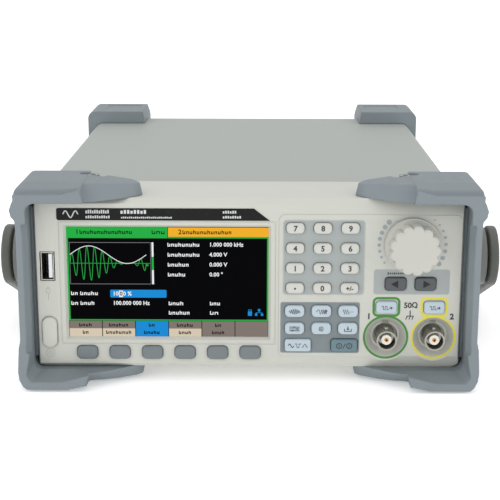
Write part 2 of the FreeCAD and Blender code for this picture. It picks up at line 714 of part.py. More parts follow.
def rear_core(x):
    front = -REAR_PANEL_FRONT - BOSS_BACK - BARREL_FRONT
    core = rod_y(x, REAR_SOCKET_Z, INSULATOR_R, (front + INSULATOR_SINK, -REAR_PANEL_FRONT + SOCKET_TAIL))
    return core.cut(rod_y(x, REAR_SOCKET_Z, CONTACT_HOLE_R, (front, front + CONTACT_HOLE_DEPTH)))


# ---------------------------------------------------------------- front bus socket
def bus_socket():
    """Upright four-contact bus socket: sheet shell and moulded tongue."""
    spans = ((BUS_FRONT, BUS_DEPTH), (BUS_FRONT - OVER, BUS_DEPTH - BUS_BACK_WALL))
    shell = block(around(BUS_X, BUS_WIDTH), spans[0], around(BUS_Z, BUS_HEIGHT))
    shell = shell.cut(block(around(BUS_X, BUS_WIDTH - 2 * BUS_WALL), spans[1],
                            around(BUS_Z, BUS_HEIGHT - 2 * BUS_WALL)))
    tongue_right = BUS_X + BUS_WIDTH / 2 - BUS_WALL - BUS_TONGUE_GAP
    tongue = block((tongue_right - BUS_TONGUE, tongue_right), (BUS_FRONT + BUS_TONGUE_SINK, BUS_DEPTH - SHEET),
                   around(BUS_Z, BUS_TONGUE_HEIGHT))
    return join(shell, tongue)


# ---------------------------------------------------------------- sheet metal
def case_cover():
    """Folded cover: top and both sides."""
    span = (BEZEL_DEPTH, CASE_LENGTH)
    cover = case_solid(span, 0).cut(case_solid((0, CASE_LENGTH + OVER), SHEET))
    return cover.cut(block((-HALF_WIDTH - OVER, HALF_WIDTH + OVER), (0, CASE_LENGTH + OVER),
                           (0, CASE_LOW + CASE_CORNER)))


def case_base():
    """Bottom tray with turned-up flanges and posts for the main board."""
    outside = case_solid((BEZEL_DEPTH, CASE_LENGTH), 0)
    section = outside.cut(case_solid((0, CASE_LENGTH + OVER), SHEET))
    floor = section.common(block((-HALF_WIDTH, HALF_WIDTH), (0, CASE_LENGTH), (0, CASE_LOW + CASE_CORNER)))
    posts = []
    for x in (-MAIN_BOARD_HALF + POST_INSET, MAIN_BOARD_HALF - POST_INSET):
        for y in (MAIN_BOARD_FRONT + POST_INSET, MAIN_BOARD_BACK - POST_INSET):
            posts.append(rod_z(x, y, POST_R, (CASE_LOW + SHEET, CASE_LOW + MAIN_BOARD_LIFT)))
    half = HALF_WIDTH - SHEET
    for side in (-1, 1):
        flange_x = sorted((side * half, side * (half - SHEET)))
        flange = block(flange_x, (BEZEL_DEPTH, REAR_PANEL_FRONT), (CASE_LOW + SHEET, CASE_LOW + BASE_FLANGE))
        posts.append(outside.common(flange))
    return join(floor, *posts)


def main_board():
    low = CASE_LOW + MAIN_BOARD_LIFT
    return block((-MAIN_BOARD_HALF, MAIN_BOARD_HALF), (MAIN_BOARD_FRONT, MAIN_BOARD_BACK), (low, low + BOARD_THICK))


def rear_panel():
    """Back wall with vent slots and the openings of the rear sockets."""
    panel = case_solid((REAR_PANEL_FRONT, REAR_PANEL_BACK), SHEET)
    through = (REAR_PANEL_FRONT - OVER, REAR_PANEL_BACK + OVER)
    for number in range(VENT_COUNT):
        x = VENT_X + (number - (VENT_COUNT - 1) / 2) * VENT_PITCH
        panel = cut(panel, rounded(x, VENT_Z, VENT_WIDTH, VENT_HEIGHT, SHEET, through))
    for x in REAR_SOCKET_X:
        panel = cut(panel, rod_y(x, REAR_SOCKET_Z, BARREL_R, through))
    panel = cut(panel, rounded(INLET_X, INLET_Z, INLET_WIDTH, INLET_HEIGHT, SHEET, through),
                block(around(NETWORK_X, NETWORK_WIDTH), through, around(NETWORK_Z, NETWORK_HEIGHT)),
                block(around(DEVICE_X, DEVICE_WIDTH), through, around(DEVICE_Z, DEVICE_HEIGHT)))
    return panel


def mains_inlet():
    """Three-blade mains inlet, moulded body and flange in one."""
    back = REAR_PANEL_BACK + INLET_FLANGE
    body = rounded(INLET_X, INLET_Z, INLET_WIDTH, INLET_HEIGHT, SHEET, (back - INLET_DEPTH, back))
    flange = rounded(INLET_X, INLET_Z, INLET_WIDTH + 2 * INLET_EAR, INLET_HEIGHT + INLET_FLANGE, INLET_CORNER,
                     (REAR_PANEL_BACK, back))
    mouth = rounded(INLET_X, INLET_Z, INLET_MOUTH_WIDTH, INLET_MOUTH_HEIGHT, INLET_CORNER,
                    (back - INLET_MOUTH_DEPTH, back + OVER))
    inlet = cut(join(body, flange), mouth)
    floor = back - INLET_MOUTH_DEPTH - SHEET
    for x, lift in ((-BLADE_PITCH, 0.0), (0.0, EARTH_LIFT), (BLADE_PITCH, 0.0)):
        inlet = inlet.fuse(block(around(INLET_X + x, BLADE_THICK), (floor, floor + BLADE_LENGTH),
                                 around(INLET_Z + lift, BLADE_HEIGHT)))
    return inlet


def network_socket():
    back = REAR_PANEL_BACK + SHEET
    body = block(around(NETWORK_X, NETWORK_WIDTH), (back - NETWORK_DEPTH, back), around(NETWORK_Z, NETWORK_HEIGHT))
    mouth = block(around(NETWORK_X, NETWORK_MOUTH_WIDTH), (back - NETWORK_MOUTH_DEPTH, back + OVER),
                  around(NETWORK_Z, NETWORK_MOUTH_HEIGHT))
    return body.cut(mouth)


def device_socket():
    back = REAR_PANEL_BACK + SHEET
    body = block(around(DEVICE_X, DEVICE_WIDTH), (back - DEVICE_DEPTH, back), around(DEVICE_Z, DEVICE_HEIGHT))
    mouth = block(around(DEVICE_X, DEVICE_MOUTH_WIDTH), (back - DEVICE_MOUTH_DEPTH, back + OVER),
                  around(DEVICE_Z, DEVICE_MOUTH_HEIGHT))
    floor = back - DEVICE_MOUTH_DEPTH - SHEET
    tongue = block(around(DEVICE_X, DEVICE_TONGUE_WIDTH), (floor, floor + DEVICE_TONGUE_LENGTH),
                   around(DEVICE_Z, DEVICE_TONGUE_HEIGHT))
    return join(body.cut(mouth), tongue)


# ---------------------------------------------------------------- bumpers
def bumper_ring(side, tip, gap, corner, y_span):
    """Upper half of the C that wraps the case corner, from the middle of the side to the arm's end."""
    corner_x, corner_z = corner
    outer = HALF_WIDTH + side
    inner = HALF_WIDTH + gap
    front = y_span[0]
    corner_side = vec(inner, front, CASE_HIGH - CASE_CORNER)
    corner_top = vec(inner - CASE_CORNER, front, CASE_HIGH)
    turn = CASE_CORNER * (1 - math.sqrt(0.5))
    corner_mid = vec(inner - turn, front, CASE_HIGH - turn)
    start = vec(outer, front, BUMPER_HIGH - corner_z)
    end = vec(outer - corner_x, front, BUMPER_HIGH)
    bend = vec(outer - corner_x * BUMPER_BEND_X, front, BUMPER_HIGH - corner_z * BUMPER_BEND_Z)
    edges = [Part.makeLine(vec(inner, front, CASE_MID), vec(outer, front, CASE_MID)),
             Part.makeLine(vec(outer, front, CASE_MID), start),
             Part.Arc(start, bend, end).toShape(),
             Part.makeLine(end, vec(tip + ARM_END_SLOPE, front, BUMPER_HIGH)),
             Part.makeLine(vec(tip + ARM_END_SLOPE, front, BUMPER_HIGH), vec(tip, front, CASE_HIGH)),
             Part.makeLine(vec(tip, front, CASE_HIGH), corner_top),
             Part.Arc(corner_top, corner_mid, corner_side).toShape(),
             Part.makeLine(corner_side, vec(inner, front, CASE_MID))]
    return Part.Face(Part.Wire(edges)).extrude(vec(0, y_span[1] - y_span[0], 0))


def front_profile(x, ridge):
    """Outline of all that lies ahead of a front bumper's upper half, in the plane at x."""
    front = -BUMPER_FRONT
    lip = CASE_HIGH + ridge
    behind = front + BUMPER_BEAD
    bulge = BUMPER_HIGH - (BUMPER_HIGH - lip) * BUMPER_BULGE_SHARE
    points = [(front - OVER, CASE_MID), (front + BUMPER_MID_BACK, CASE_MID),
              (front + BUMPER_MID_BACK, CASE_HIGH - HOOK_LOW - OVER),
              (front + BUMPER_LIP_BACK + HOOK_BACK_SLOPE, CASE_HIGH - HOOK_LOW + OVER),
              (front + BUMPER_LIP_BACK, CASE_HIGH), (front, lip), (behind, lip),
              (behind + BUMPER_BEAD_RISE, lip - BUMPER_BEAD_RISE), (front + BUMPER_BULGE_BACK, bulge),
              (BUMPER_SLOPE_END, BUMPER_HIGH),
              (BUMPER_SLOPE_END, BUMPER_HIGH + OVER), (front - OVER, BUMPER_HIGH + OVER)]
    return polygon([vec(x, y, z) for y, z in points])


def front_profile_cut(ridge, inner_ridge):
    """Cut that shapes the front edge of an upper half; its ridge changes towards the inner end."""
    start = HALF_WIDTH - BROW_RISE_START
    stations = ((0, inner_ridge), (HALF_WIDTH - BROW_INSET, inner_ridge), (start, ridge), (HANDLE_WIDTH, ridge))
    parts = []
    for (x_a, ridge_a), (x_b, ridge_b) in zip(stations, stations[1:]):
        parts.append(Part.makeLoft([front_profile(x_a, ridge_a), front_profile(x_b, ridge_b)], True, True))
    return join(*parts)


def scoop():
    """Hollow inside the flared lip of a lower corner, deepest at the corner itself."""
    rings = []
    for outline, y in ((SCOOP_FRONT, -BUMPER_FRONT), (SCOOP_BACK, SCOOP_DEPTH - BUMPER_FRONT)):
        points = [vec(HALF_WIDTH + x, y, CASE_LOW + z) for x, z in outline]
        inner = outline[0][0]
        points.append(vec(HALF_WIDTH + inner, y, CASE_LOW + outline[-1][1]))
        rings.append(polygon(points))
    return Part.makeLoft(rings, True, True)


def tongue():
    """Thin tapering tongue that runs inward along the case from the brow."""
    low = [vec(HALF_WIDTH - inset, y, CASE_HIGH) for inset, y in TONGUE_LOW_PLAN]
    root = min(inset for inset, y in TONGUE_HIGH_PLAN)
    tip = max(inset for inset, y in TONGUE_HIGH_PLAN)
    high = []
    for inset, y in TONGUE_HIGH_PLAN:
        share = (inset - root) / (tip - root)
        drop = TONGUE_TOP_DROP + (TONGUE_TIP_DROP - TONGUE_TOP_DROP) * share
        high.append(vec(HALF_WIDTH - inset, y, BUMPER_HIGH - drop))
    return Part.makeLoft([polygon(low), polygon(high)], True, True)


def hook():
    """Flared lip that carries the brow round the corner and ends in a hook on the side."""
    points = [(HALF_WIDTH + x, CASE_HIGH + z) for x, z in HOOK_OUTLINE]
    return prism_y(points, (-BUMPER_FRONT, -BUMPER_FRONT + HOOK_DEPTH))


def toe():
    """Flared lip of the lower corner."""
    points = [(HALF_WIDTH + x, CASE_LOW + z) for x, z in TOE_OUTLINE]
    return prism_y(points, (-BUMPER_FRONT, BUMPER_BACK))


def screw_recess():
    slot = block(around(SCREW_X, SCREW_SLOT - SCREW_SLOT_WIDE), around(SCREW_Y, SCREW_SLOT_WIDE),
                 (BUMPER_HIGH - SCREW_SINK, BUMPER_HIGH + OVER))
    reach = (SCREW_SLOT - SCREW_SLOT_WIDE) / 2
    ends = [rod_z(SCREW_X + side * reach, SCREW_Y, SCREW_SLOT_WIDE / 2,
                  (BUMPER_HIGH - SCREW_SINK, BUMPER_HIGH + OVER)) for side in (-1, 1)]
    return join(slot, *ends)


def front_half(corner):
    """Upper half of the right-hand front bumper, with its outer corner rounded to the size given."""
    ring = bumper_ring(BUMPER_SIDE, HALF_WIDTH - BROW_INSET, BUMPER_SIDE_GAP, corner, (-BUMPER_FRONT, BUMPER_BACK))
    ring = ring.cut(prism_x([(BUMPER_WAIST_BACK, CASE_MID - OVER), (BUMPER_WAIST_BACK, CASE_HIGH - WAIST_LOW),
                             (BUMPER_BACK, CASE_HIGH - WAIST_HIGH), (BUMPER_BACK + OVER, CASE_HIGH - WAIST_HIGH),
                             (BUMPER_BACK + OVER, CASE_MID - OVER)], (0, HANDLE_WIDTH)))
    inner = HALF_WIDTH + BUMPER_SIDE_GAP
    face = BUMPER_MID_BACK - BUMPER_FRONT
    bevel = prism_z([(inner - OVER, face + COLUMN_BEVEL_DEPTH), (inner, face + COLUMN_BEVEL_DEPTH),
                     (inner + COLUMN_BEVEL, face), (inner + COLUMN_BEVEL, face - OVER),
                     (inner - OVER, face - OVER)], (CASE_MID - OVER, CASE_HIGH - HOOK_LOW))
    seat = block((HALF_WIDTH, inner), (SEAT_FRONT, SEAT_BACK),
                 (CASE_MID, CASE_HIGH - CASE_CORNER))
    return join(ring.cut(bevel), seat, tongue())


def front_bumper():
    """Right-hand front bumper."""
    upper = front_half(BROW_CORNER)
    lower = mirror_case(front_half(TOE_CORNER))
    recess = screw_recess()
    hole = rod_z(SCREW_X, SCREW_Y, SCREW_HOLE_R, (CASE_HIGH - OVER, BUMPER_HIGH))
    brow_cut = front_profile_cut(BUMPER_RIDGE, BUMPER_RIDGE + BROW_RISE)
    toe_cut = front_profile_cut(BUMPER_RIDGE_LOW, BUMPER_RIDGE)
    upper = cut(join(upper, hook()), brow_cut, recess, hole)
    lower = cut(join(lower, toe()), mirror_case(toe_cut), scoop(), mirror_case(recess), mirror_case(hole))
    return join(upper, lower)


def rear_half():
    """Upper half of the right-hand rear bumper."""
    lip = HALF_WIDTH - REAR_BUMPER_LIP
    ring = bumper_ring(REAR_BUMPER_SIDE, REAR_BUMPER_TIP, 0.0, REAR_CORNER, (REAR_BUMPER_FACE, REAR_BUMPER_END))
    behind = join(block((lip, HALF_WIDTH + BUMPER_SIDE_GAP), (CASE_LENGTH, REAR_BUMPER_END), (CASE_MID, CASE_HIGH)),
                  block((REAR_BUMPER_TIP, HALF_WIDTH), (CASE_LENGTH, REAR_BUMPER_END),
                        (CASE_HIGH - REAR_BUMPER_LIP, CASE_HIGH)))
    end = REAR_BUMPER_END
    top = prism_x([(end - REAR_BUMPER_CHAMFER, BUMPER_HIGH), (end, BUMPER_HIGH - REAR_BUMPER_CHAMFER),
                   (end + OVER, BUMPER_HIGH - REAR_BUMPER_CHAMFER), (end + OVER, BUMPER_HIGH + OVER),
                   (end - REAR_BUMPER_CHAMFER, BUMPER_HIGH + OVER)], (0, HANDLE_WIDTH))
    groove = block((REAR_BUMPER_TIP + GROOVE_SIDE, HALF_WIDTH - GROOVE_SIDE),
                   (REAR_BUMPER_FACE + GROOVE_FRONT, end - GROOVE_BACK),
                   (BUMPER_HIGH - GROOVE_DEPTH, BUMPER_HIGH + OVER))
    return cut(join(ring, behind), top, groove)


def rear_bumper():
    upper = rear_half()
    return join(upper, mirror_case(upper))


def bumper_screws():
    screws = []
    seat = BUMPER_HIGH - SCREW_SINK
    for x in (-SCREW_X, SCREW_X):
        head = rod_z(x, SCREW_Y, SCREW_HEAD_R, (seat, seat + SCREW_HEAD))
        shank = rod_z(x, SCREW_Y, SCREW_SHANK_R, (CASE_HIGH, seat))
        socket = rod_z(x, SCREW_Y, SCREW_SOCKET_R, (seat + SCREW_HEAD / 2, seat + OVER))
        screw = join(head, shank).cut(socket)
        screws.extend([screw, mirror_case(screw)])
    return Part.makeCompound(screws)


# ---------------------------------------------------------------- handle
def handle_hubs():
    """Fixed hub rings on both sides of the case, bored for the handle's pins."""
    face = HANDLE_WIDTH / 2 - ARM_THICK - GROOVE_WIDE - HUB_FACE_GAP
    hub = rod_x(PIVOT_Y, PIVOT_Z, HUB_R, (HALF_WIDTH, face))
    hub = hub.cut(rod_x(PIVOT_Y, PIVOT_Z, PIN_R + PIN_FIT, (face - PIN_LENGTH - PIN_END_GAP, face + OVER)))
    return Part.makeCompound([hub, mirror_x(hub)])


def arm():
    """Right arm: round head, dog-leg plate, groove collar and pivot pin."""
    outer = HANDLE_WIDTH / 2
    span = (outer - ARM_THICK, outer)
    low_angle = math.radians(ARM_LOWER_SLOPE)
    high_angle = math.radians(ARM_UPPER_SLOPE)
    low_touch = (PIVOT_Y - HEAD_R * math.sin(low_angle), PIVOT_Z - HEAD_R * math.cos(low_angle))
    high_touch = (PIVOT_Y + HEAD_R * math.sin(high_angle), PIVOT_Z + HEAD_R * math.cos(high_angle))
    low_slope = math.tan(low_angle)
    high_slope = math.tan(high_angle)
    knee_y = low_touch[0] + (low_touch[1] - BAR_LOW) / low_slope
    ramp = low_touch[1] + ARM_RISE + low_slope * low_touch[0]
    shoulder_y = (high_touch[1] + high_slope * high_touch[0] - ramp) / (high_slope - low_slope)
    heel_y = (ramp - ARM_END_HIGH) / low_slope
    points = [low_touch, (knee_y, BAR_LOW), (BAR_BACK, BAR_LOW), (BAR_BACK + BAR_EDGE, BAR_LOW + BAR_EDGE),
              (BAR_BACK + BAR_EDGE, ARM_END_HIGH - BAR_EDGE), (BAR_BACK, ARM_END_HIGH),
              (heel_y, ARM_END_HIGH), (shoulder_y, ramp - low_slope * shoulder_y), high_touch]
    plate = join(prism_x(points, span), rod_x(PIVOT_Y, PIVOT_Z, HEAD_R, span))
    collar_face = outer - ARM_THICK - GROOVE_WIDE
    collar = rod_x(PIVOT_Y, PIVOT_Z, GROOVE_R, (collar_face, outer - ARM_THICK))
    pin = rod_x(PIVOT_Y, PIVOT_Z, PIN_R, (collar_face - HUB_FACE_GAP - PIN_LENGTH, collar_face))
    return join(plate, collar, pin)


def bar_section(inset, x_span):
    """Flat bar with chamfered edges, lying under the case when the handle is stowed."""
    front, back = BAR_FRONT + inset, BAR_BACK - inset
    low, high, edge = BAR_LOW + inset, BAR_HIGH - inset, BAR_EDGE - inset
    return prism_x([(front + edge, low), (back - edge, low), (back, low + edge), (back, high - edge),
                    (back - edge, high), (front + edge, high), (front, high - edge), (front, low + edge)], x_span)


def handle_frame():
    reach = HANDLE_WIDTH / 2 - ARM_THICK
    bar = join(bar_section(0, (-reach, -GRIP_HALF)), bar_section(GRIP_SKIN, (-GRIP_HALF, GRIP_HALF)),
               bar_section(0, (GRIP_HALF, reach)))
    return join(bar, arm(), mirror_x(arm()))


def handle_grip():
    """Soft sleeve over the middle of the bar."""
    return bar_section(0, (-GRIP_HALF, GRIP_HALF)).cut(bar_section(GRIP_SKIN, (-GRIP_HALF, GRIP_HALF)))


# ---------------------------------------------------------------- export
def pieces():
    right_front = front_bumper()
    right_rear = rear_bumper()
    shapes = {
        "front_bezel": front_bezel(),
        "control_plate": control_plate(),
        "name_strip": name_strip(),
        "display_window": display_window(),
        "display_module": display_module(),
        "key_board": key_board(),
        "encoder": encoder(),
        "control_knob": control_knob(),
        "output_shell_1": coax_shell(SOCKET_LEFT_X, SOCKET_Z, BOSS_BACK),
        "output_shell_2": coax_shell(SOCKET_RIGHT_X, SOCKET_Z, BOSS_BACK),
        "output_insulators": front_pair(coax_insulator),
        "output_contacts": front_pair(coax_contact),
        "bus_socket": bus_socket(),
        "front_bumper_left": mirror_x(right_front),
        "front_bumper_right": right_front,
        "rear_bumper_left": mirror_x(right_rear),
        "rear_bumper_right": right_rear,
        "bumper_screws": bumper_screws(),
        "case_cover": case_cover(),
        "case_base": case_base(),
        "rear_panel": rear_panel(),
        "main_board": main_board(),
        "mains_inlet": mains_inlet(),
        "rear_coax_sockets": rear_coax_sockets(),
        "rear_network_socket": network_socket(),
        "rear_device_socket": device_socket(),
        "handle_hubs": handle_hubs(),
        "handle_frame": handle_frame(),
        "handle_grip": handle_grip(),
    }
    for name, x, z, size, in_plate in key_layout():
        shapes[name] = key_piece(x, z, size, in_plate)
    return shapes


def main():
    os.makedirs("parts", exist_ok=True)
    for name, shape in pieces().items():
        moved = shape.copy()
        moved.translate(ROW_SHIFT)
        moved.exportStep("parts/" + name + ".step")


main()
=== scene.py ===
"""Looks of a bench function generator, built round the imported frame."""

import json
import math

import bpy
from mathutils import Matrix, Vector


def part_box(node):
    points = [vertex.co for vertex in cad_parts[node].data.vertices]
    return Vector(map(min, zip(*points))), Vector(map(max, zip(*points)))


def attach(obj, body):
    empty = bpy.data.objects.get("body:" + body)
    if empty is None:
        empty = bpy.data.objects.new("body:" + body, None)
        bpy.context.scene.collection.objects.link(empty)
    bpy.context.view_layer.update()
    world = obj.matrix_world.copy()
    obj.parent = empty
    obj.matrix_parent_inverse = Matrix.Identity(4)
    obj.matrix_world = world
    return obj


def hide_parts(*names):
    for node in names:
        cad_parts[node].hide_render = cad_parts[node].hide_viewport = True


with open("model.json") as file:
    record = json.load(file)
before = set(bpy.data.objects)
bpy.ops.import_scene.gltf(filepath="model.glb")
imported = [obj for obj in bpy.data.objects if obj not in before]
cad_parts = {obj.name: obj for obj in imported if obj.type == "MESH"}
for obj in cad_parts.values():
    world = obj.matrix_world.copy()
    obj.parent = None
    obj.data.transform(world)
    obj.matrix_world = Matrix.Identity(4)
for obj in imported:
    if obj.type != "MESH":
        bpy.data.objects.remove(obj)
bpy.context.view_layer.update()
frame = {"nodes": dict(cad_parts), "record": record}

bl_info = {
    "name": "Function generator looks",
    "version": (1, 0, 0),
    "blender": (4, 5, 0),
    "location": "View3D > Sidebar > Generator",
    "description": "Dresses the function generator's frame with its finishes, keys, screen and markings",
    "category": "Object",
}

MM = 0.001
NODES = frame["nodes"]
BODY_OF = {node: body for body, nodes in frame["record"]["behaviour"]["bodies"].items() for node in nodes}


# ---------------------------------------------------------------- colour
def ink(red, green, blue):
    """A colour given in 8-bit screen values, as the linear values that shaders use."""
    def linear(value):
        value /= 255
        return value / 12.92 if value <= 0.04045 else ((value + 0.055) / 1.055) ** 2.4
    return (linear(red), linear(green), linear(blue), 1.0)


CREAM = ink(195, 196, 188)
KEYPAD_GREY = ink(156, 163, 162)
FUNCTION_GREY = ink(118, 127, 130)
COVER_GREY = ink(158, 163, 159)
BUMPER_GREY = ink(126, 135, 140)
HANDLE_GREY = ink(84, 86, 81)
GRIP_GREY = ink(62, 64, 64)
KEY_WHITE = ink(198, 198, 192)
KEY_BLUE = ink(180, 194, 203)
KEY_TEAL = ink(98, 124, 132)
KEY_DARK = ink(78, 82, 85)
KEY_SOFT = ink(112, 120, 123)
KNOB_WHITE = ink(187, 187, 180)
STRIP_BLACK = ink(16, 17, 16)
RING_GREEN = ink(58, 128, 44)
RING_YELLOW = ink(214, 204, 58)
LABEL_DARK = ink(48, 50, 52)
LABEL_BLACK = ink(14, 14, 15)
LABEL_PALE = ink(200, 204, 204)
SCREEN_GREEN = ink(40, 175, 70)
SCREEN_ORANGE = ink(244, 176, 44)
SCREEN_BLUE = ink(28, 140, 214)
SCREEN_TAN = ink(216, 202, 178)
SCREEN_BROWN = ink(130, 120, 113)
SCREEN_GREY = ink(120, 122, 122)
SCREEN_WHITE = ink(240, 242, 242)
SCREEN_BLACK = ink(3, 3, 4)


# ---------------------------------------------------------------- shader maths
class Term:
    """A shader socket or number that can be used in a Python expression."""

    def __init__(self, finish, source):
        self.finish = finish
        self.source = source

    def _maths(self, operation, *others):
        values = [self.source] + [other.source if isinstance(other, Term) else other for other in others]
        return Term(self.finish, self.finish.node("ShaderNodeMath", {"operation": operation}, values))

    def __add__(self, other):
        return self._maths("ADD", other)

    def __sub__(self, other):
        return self._maths("SUBTRACT", other)

    def __mul__(self, other):
        return self._maths("MULTIPLY", other)

    def __truediv__(self, other):
        return self._maths("DIVIDE", other)

    def __rsub__(self, other):
        return Term(self.finish, other)._maths("SUBTRACT", self)

    __radd__ = __add__
    __rmul__ = __mul__

    def __abs__(self):
        return self._maths("ABSOLUTE")

    def __pow__(self, power):
        return self._maths("POWER", power)

    def at_least(self, other):
        return self._maths("MAXIMUM", other)

    def at_most(self, other):
        return self._maths("MINIMUM", other)

    def root(self):
        return self._maths("SQRT")

    def clamp(self):
        return self.at_least(0.0).at_most(1.0)


class Finish:
    """One node material with a Principled shader and the place on the piece to read from."""

    def __init__(self, name):
        self.material = bpy.data.materials.new(name)
        self.material.use_nodes = True
        self.tree = self.material.node_tree
        self.shader = next(n for n in self.tree.nodes if n.type == "BSDF_PRINCIPLED")
        self.place = self.node("ShaderNodeTexCoord", {}, [], "Object")
        split = self.node("ShaderNodeSeparateXYZ", {}, [self.place], None)
        self.x, self.y, self.z = [Term(self, socket) for socket in split.outputs]

    def node(self, kind, settings, values, output=0):
        """Adds a node: settings first, then its sockets by order or by name. Gives one output or the node."""
        made = self.tree.nodes.new(kind)
        for key, value in settings.items():
            setattr(made, key, value)
        pairs = values.items() if isinstance(values, dict) else enumerate(values)
        for key, value in pairs:
            self.feed(made.inputs[key], value)
        return made if output is None else made.outputs[output]

    def feed(self, socket, value):
        value = value.source if isinstance(value, Term) else value
        if isinstance(value, bpy.types.NodeSocket):
            self.tree.links.new(value, socket)
        else:
            socket.default_value = value

    def noise(self, scale, detail=2.0, stretch=(1, 1, 1)):
        """Noise of that many grains a metre, as a value about one half."""
        place = self.place
        if stretch != (1, 1, 1):
            place = self.node("ShaderNodeMapping", {}, {"Vector": place, "Scale": stretch})
        sockets = {"Vector": place, "Scale": scale, "Detail": detail}
        return Term(self, self.node("ShaderNodeTexNoise", {}, sockets))

    def blend(self, share, first, second):
        """Colour mix: first where share is 0, second where it is 1."""
        mixed = self.node("ShaderNodeMix", {"data_type": "RGBA"}, {}, None)
        self.feed(mixed.inputs[0], share)
        self.feed(mixed.inputs[6], first)
        self.feed(mixed.inputs[7], second)
        return mixed.outputs[2]

    def bump(self, height, depth):
        """Normal from a height that is worth depth metres."""
        return self.node("ShaderNodeBump", {}, {"Height": height, "Distance": depth, "Strength": 1.0})

    def set(self, **sockets):
        for name, value in sockets.items():
            self.feed(self.shader.inputs[name.replace("_", " ")], value)
        return self.material

    # masks in the plane of the front panel, in metres
    def disc(self, x, z, radius, soft):
        away = ((self.x - x) ** 2.0 + (self.z - z) ** 2.0).root()
        return ((radius - away) / soft + 0.5).clamp()

    def ring(self, x, z, radius, width, soft):
        away = ((self.x - x) ** 2.0 + (self.z - z) ** 2.0).root()
        return ((width / 2 - abs(away - radius)) / soft + 0.5).clamp()

    def tile_distance(self, x, z, width, height, corner):
        """Distance outside a rectangle with rounded corners, negative inside."""
        across = abs(self.x - x) - (width / 2 - corner)
        up = abs(self.z - z) - (height / 2 - corner)
        outside = (across.at_least(0.0) ** 2.0 + up.at_least(0.0) ** 2.0).root()
        return outside + across.at_least(up).at_most(0.0) - corner

    def tile(self, x, z, width, height, corner, soft):
        return (0.5 - self.tile_distance(x, z, width, height, corner) / soft).clamp()

    def outline(self, x, z, width, height, corner, line, soft):
        away = abs(self.tile_distance(x, z, width, height, corner))
        return ((line / 2 - away) / soft + 0.5).clamp()


def in_front(finish, depth):
    """1 on what faces forward at or before that depth, for ink that stays on the front face and for a bright
    rim in front of painted shade.
    """
    return ((depth - finish.y) / (0.1 * MM) + 0.5).clamp()


def darker_than(colour, share):
    """The colour at that share of its brightness."""
    return tuple(channel * share for channel in colour[:3]) + (1.0,)


FINISHES = {}


def finish_once(maker):
    """Keeps one material for each name."""
    def kept(name, *values):
        if name not in FINISHES:
            FINISHES[name] = maker(name, *values)
        return FINISHES[name]
    return kept


@finish_once
def moulded(name, colour, roughness, grain):
    """Spark-eroded moulded plastic: fine grain, faint mottling and polished high spots."""
    made = Finish(name)
    mottle = made.noise(60.0, 3.0)
    fine = made.noise(2600.0, 2.0)
    darker = darker_than(colour, 0.93)
    shade = made.blend((mottle * 0.7 + fine * 0.5 - 0.2).clamp(), darker, colour)
    made.set(Base_Color=shade, Roughness=(roughness - 0.06) + fine * 0.12)
    made.set(Normal=made.bump(fine, grain))
    return made.material


@finish_once
def rubber(name, colour, roughness, grain):
    """Thermoplastic rubber: matt, with a soft grain, rub marks and a little dust in the hollows."""
    made = Finish(name)
    cloud = made.noise(38.0, 4.0)
    fine = made.noise(1900.0, 3.0)
    rub = made.noise(220.0, 2.0, (1.0, 0.25, 1.0))
    darker = darker_than(colour, 0.9)
    shade = made.blend((cloud * 0.8 + rub * 0.4 - 0.15).clamp(), darker, colour)
    made.set(Base_Color=shade, Roughness=(roughness - 0.1) + rub * 0.2, Specular_IOR_Level=0.4)
    made.set(Normal=made.bump(fine, grain))
    return made.material


@finish_once
def powder_coat(name, colour, roughness, grain):
    """Powder-coated sheet: orange-peel waves with a finer speckle."""
    made = Finish(name)
    peel = made.noise(900.0, 2.0)
    speck = made.noise(4200.0, 1.0)
    drift = made.noise(9.0, 2.0)
    darker = darker_than(colour, 0.94)
    shade = made.blend((speck * 0.5 + drift * 0.7 - 0.1).clamp(), darker, colour)
    made.set(Base_Color=shade, Roughness=(roughness - 0.05) + peel * 0.1)
    made.set(Normal=made.bump(peel * 0.7 + speck * 0.3, grain))
    return made.material


@finish_once
def plated(name, colour, roughness, grain):
    """Plated turned metal: fine machining lines and a slightly uneven gloss."""
    made = Finish(name)
    lines = made.noise(500.0, 2.0, (1.0, 14.0, 1.0))
    cloud = made.noise(300.0, 2.0)
    darker = darker_than(colour, 0.8)
    shade = made.blend(cloud, darker, colour)
    made.set(Base_Color=shade, Metallic=1.0, Roughness=roughness + cloud * 0.12)
    made.set(Normal=made.bump(lines, grain))
    return made.material


@finish_once
def rim_and_painted_shade(name, colour, inside, depth):
    """Bright plated rim up to a depth, and painted shade behind it: the socket's inside gets a dark colour that
    stands for the shade in its recess.
    """
    made = Finish(name)
    cloud = made.noise(300.0, 2.0)
    # painted shade: past the rim's depth the base colour is the dark inside colour, standing in for shade in
    # the recess
    rim = in_front(made, depth)
    darker = darker_than(colour, 0.8)
    made.set(Base_Color=made.blend(rim, inside, made.blend(cloud, darker, colour)), Metallic=rim * 0.5)
    made.set(Roughness=0.2 + cloud * 0.12, Normal=made.bump(cloud, 0.01 * MM))
    return made.material


@finish_once
def printed(name, colour, roughness):
    """Screen-printed ink, with a faint mesh texture."""
    made = Finish(name)
    weave = made.noise(3000.0, 1.0)
    darker = darker_than(colour, 0.88)
    made.set(Base_Color=made.blend(weave, darker, colour), Roughness=roughness + weave * 0.1)
    return made.material


@finish_once
def lit(name, colour, strength):
    """Part of the lit picture: the display's fine dot rows under glossy glass."""
    made = Finish(name)
    pitch = 2 * math.pi / (0.198 * MM)
    rows = (made.z * pitch)._maths("SINE") * 0.5 + 0.5
    columns = (made.x * pitch)._maths("SINE") * 0.5 + 0.5
    grid = (rows * columns) * 0.12 + 0.88
    dimmer = darker_than(colour, 0.75)
    shade = made.blend(grid, dimmer, colour)
    made.set(Base_Color=ink(3, 3, 4), Roughness=0.3 + grid * 0.02, Emission_Color=shade)
    made.set(Emission_Strength=strength, Specular_IOR_Level=0.01)
    return made.material


